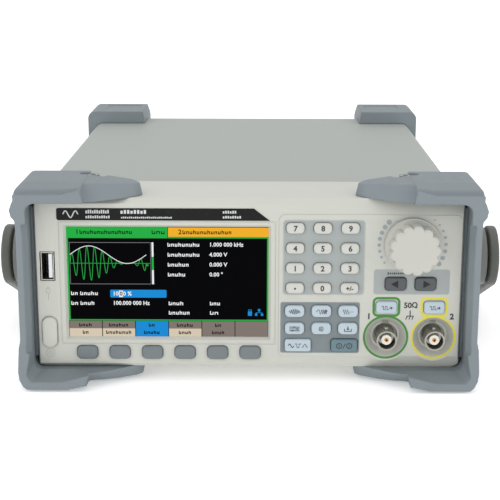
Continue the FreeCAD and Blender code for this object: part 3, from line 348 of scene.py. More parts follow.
@finish_once
def glossy_black(name, colour):
    """Glossy dark surface with faint dust."""
    made = Finish(name)
    dust = made.noise(900.0, 3.0)
    specks = ((dust - 0.66) * 8.0).clamp()
    made.set(Base_Color=made.blend(specks * 0.25, colour, ink(90, 92, 92)), Roughness=0.26 + dust * 0.12)
    made.set(Specular_IOR_Level=0.18)
    return made.material


@finish_once
def circuit_board(name, colour):
    """Solder-masked board with a copper pattern showing through."""
    made = Finish(name)
    cells = Term(made, made.node("ShaderNodeTexVoronoi", {"feature": "DISTANCE_TO_EDGE"},
                                 {"Vector": made.place, "Scale": 220.0}))
    track = ((0.06 - cells) * 30.0).clamp()
    made.set(Base_Color=made.blend(track, colour, ink(70, 130, 80)), Roughness=0.35 + track * 0.1)
    made.set(Normal=made.bump(track, 0.03 * MM))
    return made.material


# ---------------------------------------------------------------- front panel layout, read from the frame
def centre(node):
    low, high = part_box(node)
    return (low + high) / 2


PLATE_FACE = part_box("control_plate")[0].y
BEZEL_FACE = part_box("front_bezel")[0].y
SOCKETS = [centre("output_shell_1"), centre("output_shell_2")]
OUTPUT_KEYS = [centre("key_output_1"), centre("key_output_2")]
KNOB = centre("control_knob")
PROUD = 0.03 * MM


def midpoint(first, last):
    return (centre(first) + centre(last)) / 2


def plate_finish():
    """The control plate's plastic with its airbrushed key fields and printed output rings."""
    made = Finish("control_plate_plastic")
    sizes = bpy.context.scene.generator_sizes
    mottle = made.noise(60.0, 3.0)
    fine = made.noise(2600.0, 2.0)
    base = made.blend((mottle * 0.7 + fine * 0.5 - 0.2).clamp(), darker_than(CREAM, 0.93), CREAM)
    pad = midpoint("key_number_7", "key_number_sign")
    functions = midpoint("key_function_1", "key_channel")
    arrows = midpoint("key_arrow_left", "key_arrow_right")
    front = in_front(made, PLATE_FACE + 0.3 * MM)
    fields = (
        (pad.x + 0.6 * MM, pad.z + 0.2 * MM, 38.2 * MM, 36.0 * MM, 1.6 * MM, KEYPAD_GREY, 0.9 * MM),
        (functions.x + 0.2 * MM, functions.z + 0.2 * MM, 37.6 * MM, 25.2 * MM, 1.0 * MM, FUNCTION_GREY,
         0.35 * MM),
        (arrows.x + 0.5 * MM, arrows.z + 0.9 * MM, 35.8 * MM, 12.2 * MM, 1.2 * MM, KEYPAD_GREY, 0.35 * MM),
    )
    for x, z, width, height, corner, colour, soft in fields:
        shaded = made.blend(fine, darker_than(colour, 0.94), colour)
        base = made.blend(made.tile(x, z, width, height, corner, soft) * front, base, shaded)
    line = sizes.ring_line
    for socket, key, colour in zip(SOCKETS, OUTPUT_KEYS, (RING_GREEN, RING_YELLOW)):
        soft = 0.08 * MM
        ring = made.ring(socket.x, socket.z, sizes.ring_radius, line, soft)
        box = made.outline(key.x, key.z + 0.1 * MM, 12.0 * MM, 8.6 * MM, 2.0 * MM, line * 1.15, soft)
        low = socket.z + sizes.ring_radius
        neck_low, neck_high = low - 0.9 * MM, key.z - 3.9 * MM
        neck = made.tile(key.x, (neck_low + neck_high) / 2, 7.4 * MM, neck_high - neck_low, 0.3 * MM, soft)
        inside = made.disc(socket.x, socket.z, sizes.ring_radius - line / 2, soft)
        mark = (ring + box + neck * (1 - inside)).clamp() * front
        base = made.blend(mark, base, colour)
    made.set(Base_Color=base, Roughness=0.42 + fine * 0.12, Normal=made.bump(fine, 0.03 * MM))
    return made.material


# ---------------------------------------------------------------- modelling helpers
def clear_selection():
    if bpy.context.object and bpy.context.object.mode != "OBJECT":
        bpy.ops.object.mode_set(mode="OBJECT")
    bpy.ops.object.select_all(action="DESELECT")


def pick(piece):
    clear_selection()
    piece.select_set(True)
    bpy.context.view_layer.objects.active = piece


def settle(piece, name):
    """Puts a piece's place into its mesh, so its object stands at the origin."""
    pick(piece)
    if piece.type != "MESH":
        bpy.ops.object.convert(target="MESH")
        piece = bpy.context.object
    bpy.ops.object.transform_apply(location=True, rotation=True, scale=True)
    piece.name = name
    piece.data.name = name
    return piece


def dress(piece, material, body, smooth=30.0):
    """Gives a piece its finish and its body."""
    if material:
        piece.data.materials.clear()
        piece.data.materials.append(material)
    pick(piece)
    bpy.ops.object.shade_smooth_by_angle(angle=math.radians(smooth))
    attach(piece, body)
    return piece


def choose(piece, kind, test):
    """Selects the faces that pass a test of middle and normal, or the edges that pass one of their ends."""
    bpy.ops.object.mode_set(mode="OBJECT")
    mesh = piece.data
    place = piece.matrix_world
    if kind == "FACE":
        faces = [face for face in mesh.polygons if test(place @ face.center, face.normal)]
        edges = {key for face in faces for key in face.edge_keys}
    else:
        faces = []
        edges = {edge.key for edge in mesh.edges
                 if test(*(place @ mesh.vertices[index].co for index in edge.vertices))}
    corners = {index for key in edges for index in key}
    chosen = {face.index for face in faces}
    for vertex in mesh.vertices:
        vertex.select = vertex.index in corners
    for edge in mesh.edges:
        edge.select = edge.key in edges
    for face in mesh.polygons:
        face.select = face.index in chosen
    bpy.context.tool_settings.mesh_select_mode = (False, kind == "EDGE", kind == "FACE")
    bpy.ops.object.mode_set(mode="EDIT")


def finish_edges(piece, width, segments=3, angle=30.0):
    """Rounds the sharp edges of a piece."""
    pick(piece)
    modifier = piece.modifiers.new("rounded_edges", "BEVEL")
    modifier.width = width
    modifier.segments = segments
    modifier.limit_method = "ANGLE"
    modifier.angle_limit = math.radians(angle)
    modifier.harden_normals = False
    bpy.ops.object.modifier_apply(modifier=modifier.name)
    return piece


def from_frame(node, name, edge_width, segments=3, angle=30.0, flat=1.0):
    """Copies a frame node's shape, joins its loose triangles into faces and rounds its edges."""
    source = NODES[node]
    copy = bpy.data.objects.new(name, source.data.copy())
    copy.data.name = name
    bpy.context.scene.collection.objects.link(copy)
    pick(copy)
    bpy.ops.mesh.customdata_custom_splitnormals_clear()
    bpy.ops.object.mode_set(mode="EDIT")
    bpy.ops.mesh.select_mode(type="FACE")
    bpy.ops.mesh.select_all(action="SELECT")
    bpy.ops.mesh.remove_doubles(threshold=0.002 * MM)
    bpy.ops.mesh.dissolve_limited(angle_limit=math.radians(flat))
    bpy.ops.mesh.normals_make_consistent(inside=False)
    bpy.ops.object.mode_set(mode="OBJECT")
    finish_edges(copy, edge_width, segments, angle)
    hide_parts(node)
    return copy


def soft_moulding(node, material, cell, rounds):
    """Copies a frame node's shape as an even mesh and softens every edge and corner of it."""
    copy = bpy.data.objects.new(node + "_shell", NODES[node].data.copy())
    copy.data.name = copy.name
    bpy.context.scene.collection.objects.link(copy)
    pick(copy)
    bpy.ops.mesh.customdata_custom_splitnormals_clear()
    copy.data.remesh_voxel_size = cell
    bpy.ops.object.voxel_remesh()
    modifier = copy.modifiers.new("softened", "SMOOTH")
    modifier.factor = 0.5
    modifier.iterations = rounds
    bpy.ops.object.modifier_apply(modifier=modifier.name)
    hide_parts(node)
    return dress(copy, material, BODY_OF[node], 60.0)


def soften_node(node, material, edge_width, segments=3, angle=30.0):
    piece = from_frame(node, node + "_shell", edge_width, segments, angle)
    return dress(piece, material, BODY_OF[node])


def repaint(node, material):
    """Gives a frame node its finish; its shape stays."""
    mesh = NODES[node].data
    if not mesh.materials:
        mesh.materials.append(material)
    for index in range(len(mesh.materials)):
        mesh.materials[index] = material


# ---------------------------------------------------------------- markings
INK_THICK = 0.015 * MM


def lettering(text, x, z, height, depth, material, name, body="case",
              weight=0.06 * MM):
    """Raised lettering on a face that looks forward."""
    clear_selection()
    bpy.ops.object.text_add(location=(x, depth, z), rotation=(math.pi / 2, 0, 0))
    words = bpy.context.object
    words.data.body = text
    words.data.align_x = "CENTER"
    words.data.align_y = "CENTER"
    words.data.size = height / 0.7
    words.data.offset = weight
    words.data.resolution_u = 3
    words.data.extrude = 0.01 * MM
    piece = settle(words, name)
    return dress(piece, material, body)


def thicken(piece, step):
    """Extrudes the whole of a flat piece along Y."""
    pick(piece)
    bpy.ops.object.mode_set(mode="EDIT")
    bpy.ops.mesh.select_all(action="SELECT")
    bpy.ops.mesh.extrude_region_move(TRANSFORM_OT_translate={"value": (0, step, 0)})
    bpy.ops.object.mode_set(mode="OBJECT")
    return piece


def disc(x, depth, z, radius, corners=20):
    """A flat disc on a face that looks forward."""
    clear_selection()
    bpy.ops.mesh.primitive_circle_add(vertices=corners, radius=radius, fill_type="NGON",
                                      location=(x, depth, z), rotation=(math.pi / 2, 0, 0))
    return bpy.context.object


def patch(x, z, width, height, depth, corner=0.0):
    """A thin tile on a face that looks forward: a plane with rounded corners, given thickness."""
    clear_selection()
    bpy.ops.mesh.primitive_plane_add(size=1.0, location=(x, depth, z), rotation=(math.pi / 2, 0, 0))
    tile = bpy.context.object
    tile.scale = (width, height, 1.0)
    bpy.ops.object.transform_apply(location=False, rotation=False, scale=True)
    if corner > 0:
        bpy.ops.object.mode_set(mode="EDIT")
        bpy.ops.mesh.select_all(action="SELECT")
        bpy.ops.mesh.bevel(offset=corner, segments=4, affect="VERTICES")
    return thicken(tile, -INK_THICK)


def ribbon(points, width, depth):
    """A flat line through points on a face that looks forward."""
    clear_selection()
    bpy.ops.curve.primitive_bezier_curve_add(location=(0, 0, 0))
    line = bpy.context.object
    line.data.splines.clear()
    spline = line.data.splines.new("POLY")
    spline.points.add(len(points) - 1)
    for knot, (x, z) in zip(spline.points, points):
        knot.co = (x, depth, z, 1.0)
    line.data.dimensions = "3D"
    line.data.bevel_depth = width / 2
    line.data.bevel_resolution = 1
    line.data.use_fill_caps = True
    bpy.ops.object.convert(target="MESH")
    return bpy.context.object


def press_flat(piece, depth):
    """Flattens a line to printed thickness against the face at that depth."""
    pick(piece)
    bpy.ops.object.mode_set(mode="EDIT")
    bpy.ops.mesh.select_all(action="SELECT")
    bpy.ops.transform.resize(value=(1, 0.06, 1), center_override=(0, depth, 0))
    bpy.ops.object.mode_set(mode="OBJECT")
    return piece


def merge(pieces, name, material, body="case"):
    """Joins marks of one ink into one piece."""
    clear_selection()
    for piece in pieces:
        piece.select_set(True)
    bpy.context.view_layer.objects.active = pieces[0]
    if len(pieces) > 1:
        bpy.ops.object.join()
    return dress(settle(bpy.context.object, name), material, body)


def circle_points(x, z, radius, start=0.0, end=360.0, count=24):
    turns = [math.radians(start + (end - start) * step / count) for step in range(count + 1)]
    return [(x + radius * math.cos(turn), z + radius * math.sin(turn)) for turn in turns]


def wave_points(x, z, width, height, cycles, count=48, swell=None):
    points = []
    for step in range(count + 1):
        share = step / count
        size = swell(share) if swell else 1.0
        rise = height / 2 * size * math.sin(2 * math.pi * cycles * share)
        points.append((x - width / 2 + width * share, z + rise))
    return points


# ---------------------------------------------------------------- what a user would change
def length(name, description, default):
    return bpy.props.FloatProperty(name=name, description=description, default=default, unit="LENGTH")


def tint(name, description, default):
    return bpy.props.FloatVectorProperty(name=name, description=description, default=default,
                                         subtype="COLOR", size=4, min=0.0, max=1.0)


class GeneratorSizes(bpy.types.PropertyGroup):
    """Sizes of the finishing details."""

    ring_radius: length("Output ring radius", "Middle radius of the coloured output rings", 10.3 * MM)
    ring_line: length("Output ring line", "Width of the coloured lines round the outputs", 1.05 * MM)
    bumper_edge: length("Bumper edge", "How far the bumpers' edges are softened", 1.0 * MM)
    case_edge: length("Case edge", "Rounding of the bezel's edges", 0.4 * MM)
    handle_edge: length("Handle edge", "How far the handle's edges are softened", 0.9 * MM)
    digit_height: length("Digit height", "Height of the digits on the number keys", 2.5 * MM)
    key_crown: length("Key crown", "How far the middle of a key stands above its edge", 0.18 * MM)


class GeneratorColours(bpy.types.PropertyGroup):
    """Colours of the main mouldings and of the cover."""

    bezel: tint("Bezel", "Colour of the bezel and the power key", CREAM)
    cover: tint("Cover", "Colour of the sheet-metal cover", COVER_GREY)
    bumper: tint("Bumper", "Colour of the corner bumpers", BUMPER_GREY)
    handle: tint("Handle", "Colour of the handle", HANDLE_GREY)
    knob: tint("Knob", "Colour of the knob", KNOB_WHITE)


def sizes():
    return bpy.context.scene.generator_sizes


def colour(name):
    return tuple(getattr(bpy.context.scene.generator_colours, name))


# ---------------------------------------------------------------- keys
KEY_FLANGE = 0.5 * MM
FLANGE_THICK = 0.9 * MM
STEM_REACH = 2.9 * MM
SOFT_STEM_REACH = 2.0 * MM


def key_body(node, corner, edge, dish=False):
    """A key: a rounded cap with a crowned face, the flange behind it and its stem."""
    low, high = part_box(node)
    middle = (low + high) / 2
    width = high.x - low.x - 2 * KEY_FLANGE
    height = high.z - low.z - 2 * KEY_FLANGE
    crown = sizes().key_crown
    stem = SOFT_STEM_REACH if node.startswith(("key_soft", "key_power")) else STEM_REACH
    flange_back = high.y - stem
    back = flange_back - FLANGE_THICK
    front = low.y + (0 if dish else crown)
    clear_selection()
    bpy.ops.mesh.primitive_cube_add(size=1.0, location=(middle.x, (front + back) / 2, middle.z))
    key = bpy.context.object
    key.scale = (width, back - front, height)
    bpy.ops.object.transform_apply(location=True, rotation=True, scale=True)
    bpy.ops.object.mode_set(mode="EDIT")
    choose(key, "EDGE", lambda a, b: abs(a.y - b.y) > 0.5 * (back - front))
    bpy.ops.mesh.bevel(offset=corner, segments=6, affect="EDGES")
    choose(key, "FACE", lambda place, normal: normal.y < -0.9)
    bpy.ops.mesh.bevel(offset=edge, segments=4, affect="EDGES")
    choose(key, "FACE", lambda place, normal: normal.y < -0.99 and abs(place.x - middle.x) < 0.2 * MM)
    shrink_ring(0.68, middle, (crown if dish else -0.6 * crown))
    shrink_ring(0.5, middle, (0.4 * crown if dish else -0.4 * crown))
    choose(key, "FACE", lambda place, normal: normal.y > 0.9)
    bpy.ops.mesh.extrude_region_move()
    bpy.ops.transform.resize(value=((width + 2 * KEY_FLANGE) / width, 1, (height + 2 * KEY_FLANGE) / height),
                             center_override=middle)
    bpy.ops.mesh.extrude_region_move(TRANSFORM_OT_translate={"value": (0, FLANGE_THICK, 0)})
    shrink_ring(0.3, middle, 0)
    bpy.ops.mesh.extrude_region_move(TRANSFORM_OT_translate={"value": (0, stem, 0)})
    bpy.ops.object.mode_set(mode="OBJECT")
    return key


def shrink_ring(share, middle, step):
    """Extrudes the chosen face, shrinks it about the middle and moves it along Y."""
    bpy.ops.mesh.extrude_region_move()
    bpy.ops.transform.resize(value=(share, 1, share), center_override=middle)
    bpy.ops.transform.translate(value=(0, step, 0))


def copy_to(model, first, node):
    """Copies a finished key to the place of another of the same size."""
    copy = model.copy()
    copy.data = model.data.copy()
    bpy.context.scene.collection.objects.link(copy)
    pick(copy)
    copy.location = centre(node) - centre(first)
    bpy.ops.object.transform_apply(location=True, rotation=True, scale=True)
    return copy


def key_family(nodes, material, corner, edge, dish=False):
    """Like keys: the first is modelled and the others are its copies."""
    model = key_body(nodes[0], corner, edge, dish)
    keys = [model] + [copy_to(model, nodes[0], node) for node in nodes[1:]]
    for key, node in zip(keys, nodes):
        key.name = key.data.name = node + "_cap"
        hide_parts(node)
        dress(key, material, BODY_OF[node], 35.0)


def mark_depth(node):
    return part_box(node)[0].y - 0.01 * MM


NUMBER_KEYS = {"7": "7", "8": "8", "9": "9", "4": "4", "5": "5", "6": "6", "1": "1", "2": "2", "3": "3",
               "point": ".", "0": "0", "sign": "+/-"}
FUNCTION_KEYS = ["key_function_%d" % number for number in range(1, 7)]
SOFT_KEYS = ["key_soft_%d" % number for number in range(1, 7)]


class GENERATOR_OT_keys(bpy.types.Operator):
    """Models the key caps and copies them to their places"""

    bl_idname = "generator.keys"
    bl_label = "Keys"

    def execute(self, context):
        numbers = ["key_number_" + name for name in NUMBER_KEYS]
        key_family(numbers, moulded("key_white", KEY_WHITE, 0.42, 0.012 * MM), 2.0 * MM, 0.8 * MM)
        pale = moulded("key_pale_blue", KEY_BLUE, 0.42, 0.012 * MM)
        key_family(FUNCTION_KEYS, pale, 2.1 * MM, 0.7 * MM)
        key_family(["key_waveform"], pale, 1.2 * MM, 0.7 * MM)
        key_family(["key_channel"], moulded("key_teal", KEY_TEAL, 0.42, 0.012 * MM), 1.2 * MM, 0.7 * MM)
        key_family(["key_output_1", "key_output_2"], pale, 1.5 * MM, 0.7 * MM)
        dark = moulded("key_dark", KEY_DARK, 0.42, 0.012 * MM)
        key_family(["key_arrow_left", "key_arrow_right"], dark, 1.6 * MM, 0.7 * MM, dish=True)
        key_family(SOFT_KEYS, moulded("key_soft_grey", KEY_SOFT, 0.5, 0.02 * MM), 2.2 * MM, 0.8 * MM)
        cream = moulded("key_power_cream", colour("bezel"), 0.42, 0.012 * MM)
        key_family(["key_power"], cream, 3.3 * MM, 0.8 * MM)
        return {"FINISHED"}


def icon(node, lines, marks=(), width=0.46 * MM):
    """Draws a key's icon from lines and tiles given in millimetres about the key's middle."""
    middle = centre(node)
    depth = mark_depth(node)
    pieces = []
    for points in lines:
        placed = [(middle.x + x * MM, middle.z + z * MM) for x, z in points]
        pieces.append(press_flat(ribbon(placed, width, depth), depth))
    for x, z, wide, high in marks:
        pieces.append(patch(middle.x + x * MM, middle.z + z * MM, wide * MM, high * MM, depth))
    merge(pieces, node + "_icon", printed("label_dark", LABEL_DARK, 0.5), BODY_OF[node])


def square_wave(left, right, low, high, steps):
    points = []
    for step in range(steps + 1):
        x = left + (right - left) * step / steps
        before, after = (low, high) if step % 2 == 0 else (high, low)
        points += [(x, before), (x, after)] if 0 < step < steps else [(x, after if step == 0 else before)]
    return points


class GENERATOR_OT_key_marks(bpy.types.Operator):
    """Prints the digits, arrows and icons on the keys"""

    bl_idname = "generator.key_marks"
    bl_label = "Key markings"

    def execute(self, context):
        dark = printed("label_dark", LABEL_DARK, 0.5)
        height = sizes().digit_height
        for name, text in NUMBER_KEYS.items():
            node = "key_number_" + name
            middle = centre(node)
            if name == "point":
                dot = disc(middle.x, mark_depth(node), middle.z, 0.5 * MM)
                merge([thicken(dot, -INK_THICK)], node + "_mark", dark, BODY_OF[node])
                continue
            size = height * (0.8 if len(text) > 1 else 1.0)
            lettering(text, middle.x, middle.z, size, mark_depth(node), dark, node + "_mark",
                      BODY_OF[node], 0.12 * MM)
        swell = wave_points(0, 0, 5.2, 2.6, 6, 96, lambda share: 0.25 + 0.75 * math.sin(math.pi * share))
        sweep = [(-2.6 + 5.2 * s / 80, 1.1 * math.sin(2 * math.pi * 4.5 * (s / 80) ** 2)) for s in range(81)]
        burst = wave_points(-1.0, 0, 3.0, 2.2, 3, 48) + [(2.6, 0)]
        icon("key_function_1", [swell], width=0.3 * MM)
        icon("key_function_2", [sweep], width=0.3 * MM)
        icon("key_function_3", [burst], width=0.22 * MM)
        icon("key_function_4", [[(-2.4, z), (2.4, z)] for z in (-0.9, 0, 0.9)],
             [(-1.0, -0.9, 0.8, 0.7), (1.2, 0, 0.8, 0.7), (-0.2, 0.9, 0.8, 0.7)])
        gear = [circle_points(0, 0, 0.9), circle_points(0, 0, 0.35, count=12)]
        gear += [[(0.9 * math.cos(turn), 0.9 * math.sin(turn)), (1.35 * math.cos(turn), 1.35 * math.sin(turn))]
                 for turn in (math.pi * step / 4 for step in range(8))]
        icon("key_function_5", gear, width=0.3 * MM)
        icon("key_function_6", [[(-1.6, 0.1), (-1.6, -1.1), (1.6, -1.1), (1.6, 0.1)], [(0, 1.3), (0, -0.4)],
                                [(-0.6, 0.2), (0, -0.4), (0.6, 0.2)]])
        icon("key_waveform", [wave_points(-3.2, 0, 2.6, 1.8, 1, 24), square_wave(-1.4, 1.6, -0.9, 0.9, 3),
                              [(2.2, -0.9), (3.4, 0.9), (4.6, -0.9)]])
        rings = [circle_points(x, 0, 1.25) for x in (-2.4, 2.4)]
        icon("key_channel", rings + [[(-0.6, -1.2), (0.6, 1.2)]],
             [(-2.4, 0, 0.35, 1.3), (2.4, 0.45, 0.8, 0.3), (2.4, -0.45, 0.8, 0.3)])
        for node in ("key_output_1", "key_output_2"):
            icon(node, [square_wave(-2.4, 1.0, -0.8, 0.8, 4), [(1.0, 0), (2.6, 0)],
                        [(1.9, 0.6), (2.7, 0), (1.9, -0.6)]])
        for node, turn in (("key_arrow_left", 1), ("key_arrow_right", -1)):
            middle = centre(node)
            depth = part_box(node)[0].y + 1.4 * sizes().key_crown - 0.05 * MM
            arrow = disc(middle.x, depth, middle.z, 2.15 * MM, 3)
            arrow.rotation_euler = (math.pi / 2, -turn * math.pi / 2, 0)
            arrow.scale = (1.0, 1.05, 1.0)
            bpy.ops.object.transform_apply(location=True, rotation=True, scale=True)
            thicken(arrow, -2 * INK_THICK)
            black = printed("label_black", LABEL_BLACK, 0.5)
            merge([arrow], node + "_mark", black, BODY_OF[node])
        return {"FINISHED"}


# ---------------------------------------------------------------- case, bumpers, handle, sockets
class GENERATOR_OT_case(bpy.types.Operator):
    """Rounds the bezel and the control plate and finishes the sheet metal and inner pieces"""

    bl_idname = "generator.case"
    bl_label = "Case"

    def execute(self, context):
        bezel = moulded("bezel_plastic", colour("bezel"), 0.46, 0.03 * MM)
        soften_node("front_bezel", bezel, sizes().case_edge)
        soften_node("control_plate", plate_finish(), sizes().case_edge * 0.6)
        cover = powder_coat("cover_paint", colour("cover"), 0.5, 0.04 * MM)
        for node in ("case_cover", "case_base", "rear_panel"):
            repaint(node, cover)
        repaint("name_strip", glossy_black("strip_gloss", STRIP_BLACK))
        repaint("display_window", glossy_black("window_gloss", SCREEN_BLACK))
        repaint("display_module", moulded("module_black", ink(30, 32, 34), 0.5, 0.02 * MM))
        board = circuit_board("board_green", ink(30, 84, 52))
        for node in ("key_board", "main_board"):
            repaint(node, board)
        steel = plated("brushed_steel", ink(176, 178, 180), 0.3, 0.02 * MM)
        for node in ("encoder", "bumper_screws", "rear_network_socket"):
            repaint(node, steel)
        repaint("mains_inlet", moulded("inlet_black", ink(28, 28, 30), 0.4, 0.02 * MM))
        repaint("rear_device_socket", moulded("socket_pale", ink(214, 214, 208), 0.4, 0.02 * MM))
        repaint("rear_coax_sockets", plated("bright_nickel", ink(168, 166, 158), 0.2, 0.01 * MM))
        return {"FINISHED"}


class GENERATOR_OT_bumpers(bpy.types.Operator):
    """Rounds the four corner bumpers"""

    bl_idname = "generator.bumpers"
    bl_label = "Bumpers"

    def execute(self, context):
        grey = rubber("bumper_rubber", colour("bumper"), 0.58, 0.05 * MM)
        for end in ("front", "rear"):
            for side in ("left", "right"):
                soft_moulding("%s_bumper_%s" % (end, side), grey, 0.6 * sizes().bumper_edge, 4)
        return {"FINISHED"}


class GENERATOR_OT_handle(bpy.types.Operator):
    """Rounds the handle, its grip sleeve and the hub rings"""

    bl_idname = "generator.handle"
    bl_label = "Handle"

    def execute(self, context):
        grey = moulded("handle_plastic", colour("handle"), 0.42, 0.03 * MM)
        soft_moulding("handle_frame", grey, sizes().handle_edge, 10)
        soften_node("handle_hubs", moulded("hub_plastic", ink(104, 107, 103), 0.42, 0.03 * MM), 0.5 * MM)
        soften_node("handle_grip", rubber("grip_rubber", GRIP_GREY, 0.7, 0.06 * MM), 0.4 * MM)
        return {"FINISHED"}


DOT_CIRCLE = 15.6 * MM
DOTS_A_SIDE = 8


class GENERATOR_OT_knob(bpy.types.Operator):
    """Rounds the knob and prints the dots that grow round it"""

    bl_idname = "generator.knob"
    bl_label = "Knob"

    def execute(self, context):
        plastic = moulded("knob_plastic", colour("knob"), 0.34, 0.012 * MM)
        soften_node("control_knob", plastic, 0.3 * MM, 3, 40.0)
        dots = []
        for first, last, small, large in ((136, 214, 0.55 * MM, 1.25 * MM), (-36, 50, 0.4 * MM, 1.2 * MM)):
            for step in range(DOTS_A_SIDE):
                share = step / (DOTS_A_SIDE - 1)
                turn = math.radians(first + (last - first) * share)
                radius = small + (large - small) * (1 - share)
                dot = disc(KNOB.x + DOT_CIRCLE * math.cos(turn), PLATE_FACE - PROUD,
                           KNOB.z + DOT_CIRCLE * math.sin(turn), radius)
                dots.append(thicken(dot, 0.02 * MM))
        merge(dots, "knob_dots", printed("dot_grey", ink(150, 160, 164), 0.5))
        return {"FINISHED"}


# white sleeve over the bus socket's metal tongue, a little larger than the tongue all round
BUS_TONGUE = (1.9 * MM, 7.8 * MM, 11.7 * MM)
BUS_TONGUE_SINK = 0.7 * MM
BUS_TONGUE_GAP = 0.72 * MM


class GENERATOR_OT_sockets(bpy.types.Operator):
    """Finishes the output sockets and the bus socket"""

    bl_idname = "generator.sockets"
    bl_label = "Sockets"

    def execute(self, context):
        nickel = plated("bright_nickel", ink(168, 166, 158), 0.2, 0.01 * MM)
        for node in ("output_shell_1", "output_shell_2"):
            soften_node(node, nickel, 0.2 * MM, 3)
        white = moulded("insulator_white", ink(240, 238, 230), 0.4, 0.01 * MM)
        soften_node("output_insulators", white, 0.15 * MM)
        soften_node("output_contacts", plated("gilt", ink(220, 170, 84), 0.2, 0.005 * MM), 0.1 * MM)
        low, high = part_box("bus_socket")
        # the dark inside colour ink(52, 50, 44) is painted shade for the socket's recess behind its bright rim
        rim = rim_and_painted_shade("bus_socket_rim", ink(216, 214, 206), ink(52, 50, 44), low.y + 0.5 * MM)
        soften_node("bus_socket", rim, 0.12 * MM)
        clear_selection()
        right = high.x - BUS_TONGUE_GAP
        place = (right - BUS_TONGUE[0] / 2, low.y + BUS_TONGUE_SINK + BUS_TONGUE[1] / 2, (low.z + high.z) / 2)
        bpy.ops.mesh.primitive_cube_add(size=1.0, location=place)
        tongue = bpy.context.object
        tongue.scale = BUS_TONGUE
        bpy.ops.object.transform_apply(location=True, rotation=True, scale=True)
        finish_edges(tongue, 0.25 * MM, 3)
        tongue.name = "bus_socket_tongue"
        dress(tongue, moulded("tongue_white", ink(232, 236, 236), 0.4, 0.01 * MM), "case")
        return {"FINISHED"}


# ---------------------------------------------------------------- panel markings
class GENERATOR_OT_panel_marks(bpy.types.Operator):
    """Prints the markings of the front panel and of the name strip"""

    bl_idname = "generator.panel_marks"
    bl_label = "Panel markings"

    def execute(self, context):
        depth = PLATE_FACE - PROUD
        dark = printed("label_dark", LABEL_DARK, 0.5)
        (left, right), (key_left, key_right) = SOCKETS, OUTPUT_KEYS
        for text, x, key in (("1", left.x - 8.2 * MM, key_left), ("2", right.x + 8.5 * MM, key_right)):
            lettering(text, x, key.z - 4.7 * MM, 2.7 * MM, depth, dark, "output_number_" + text,
                      weight=0.17 * MM)
        middle = (left.x + right.x) / 2
        lettering("50Ω", middle + 0.2 * MM, key_left.z + 0.8 * MM, 2.6 * MM, depth, dark, "impedance_mark",
                  weight=0.13 * MM)
        top, bar = key_left.z - 1.6 * MM, key_left.z - 4.4 * MM
        earth = [[(middle, top), (middle, bar)], [(middle - 1.7 * MM, bar), (middle + 1.7 * MM, bar)]]
        earth += [[(middle + x * MM, bar), (middle + (x - 0.7) * MM, bar - 1.7 * MM)] for x in (-1.3, 0.2, 1.6)]
        merge([press_flat(ribbon(points, 0.52 * MM, depth), depth) for points in earth], "earth_mark", dark)
        arrow = centre("key_arrow_left")
        words = [patch(arrow.x + (-3.6 + 0.98 * step) * MM, arrow.z + 5.0 * MM, 0.62 * MM, high * MM, depth)
                 for step, high in enumerate((1.1, 0.8, 0.8, 1.1, 0.8, 0.8, 0.8, 0.8, 0.8))]
        merge(words, "step_back_label", dark)
        faint = printed("label_faint", ink(150, 152, 148), 0.5)
        power = centre("key_power")
        face = BEZEL_FACE - PROUD
        ring = [circle_points(power.x, power.z - 10.4 * MM, 2.0 * MM, count=32),
                circle_points(power.x, power.z - 10.4 * MM, 0.85 * MM, 120, 420, 16),
                [(power.x, power.z - 10.2 * MM), (power.x, power.z - 9.3 * MM)]]
        merge([press_flat(ribbon(points, 0.22 * MM, face), face) for points in ring], "power_mark", faint)
        bus = centre("bus_socket")
        low = bus.z - 16.4 * MM
        plug = [[(bus.x, low), (bus.x, low + 3.4 * MM)],
                [(bus.x - 0.9 * MM, low + 3.4 * MM), (bus.x + 0.9 * MM, low + 3.4 * MM),
                 (bus.x + 0.9 * MM, low + 5.4 * MM), (bus.x - 0.9 * MM, low + 5.4 * MM),
                 (bus.x - 0.9 * MM, low + 3.4 * MM)],
                [(bus.x - 0.4 * MM, low + 5.4 * MM), (bus.x - 0.4 * MM, low + 6.4 * MM)],
                [(bus.x + 0.4 * MM, low + 5.4 * MM), (bus.x + 0.4 * MM, low + 6.4 * MM)]]
        merge([press_flat(ribbon(points, 0.22 * MM, face), face) for points in plug], "bus_mark", faint)
        self.strip_marks()
        return {"FINISHED"}

    def strip_marks(self):
        low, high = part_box("name_strip")
        depth = low.y - PROUD
        middle = (low.z + high.z) / 2
        pale = printed("label_pale", LABEL_PALE, 0.45)
        badge = wave_points(low.x + 6.6 * MM, middle, 7.0 * MM, 3.2 * MM, 1.5, 36)
        marks = [press_flat(ribbon(badge, 0.6 * MM, depth), depth)]
        rows = ((14.0, 1.25, 1.7, 11, 1.02), (14.0, -1.25, 1.3, 11, 1.05), (30.5, 1.2, 1.8, 8, 1.55),
                (30.5, -1.5, 0.8, 26, 0.92), (78.0, 1.2, 1.3, 6, 1.1), (78.0, -1.2, 1.2, 8, 1.1))
        for start, up, height, count, pitch in rows:
            for step in range(count):
                tall = height * (1.0 if (step * 7) % 3 else 0.8)
                x = low.x + (start + step * pitch) * MM
                z = middle + (up + (tall - height) / 2) * MM
                marks.append(patch(x, z, pitch * 0.68 * MM, tall * MM, depth))
        merge(marks, "strip_marks", pale)


# ---------------------------------------------------------------- screen
DOTS_WIDE = 480
DOTS_HIGH = 272
ACTIVE_WIDTH = 95.04 * MM


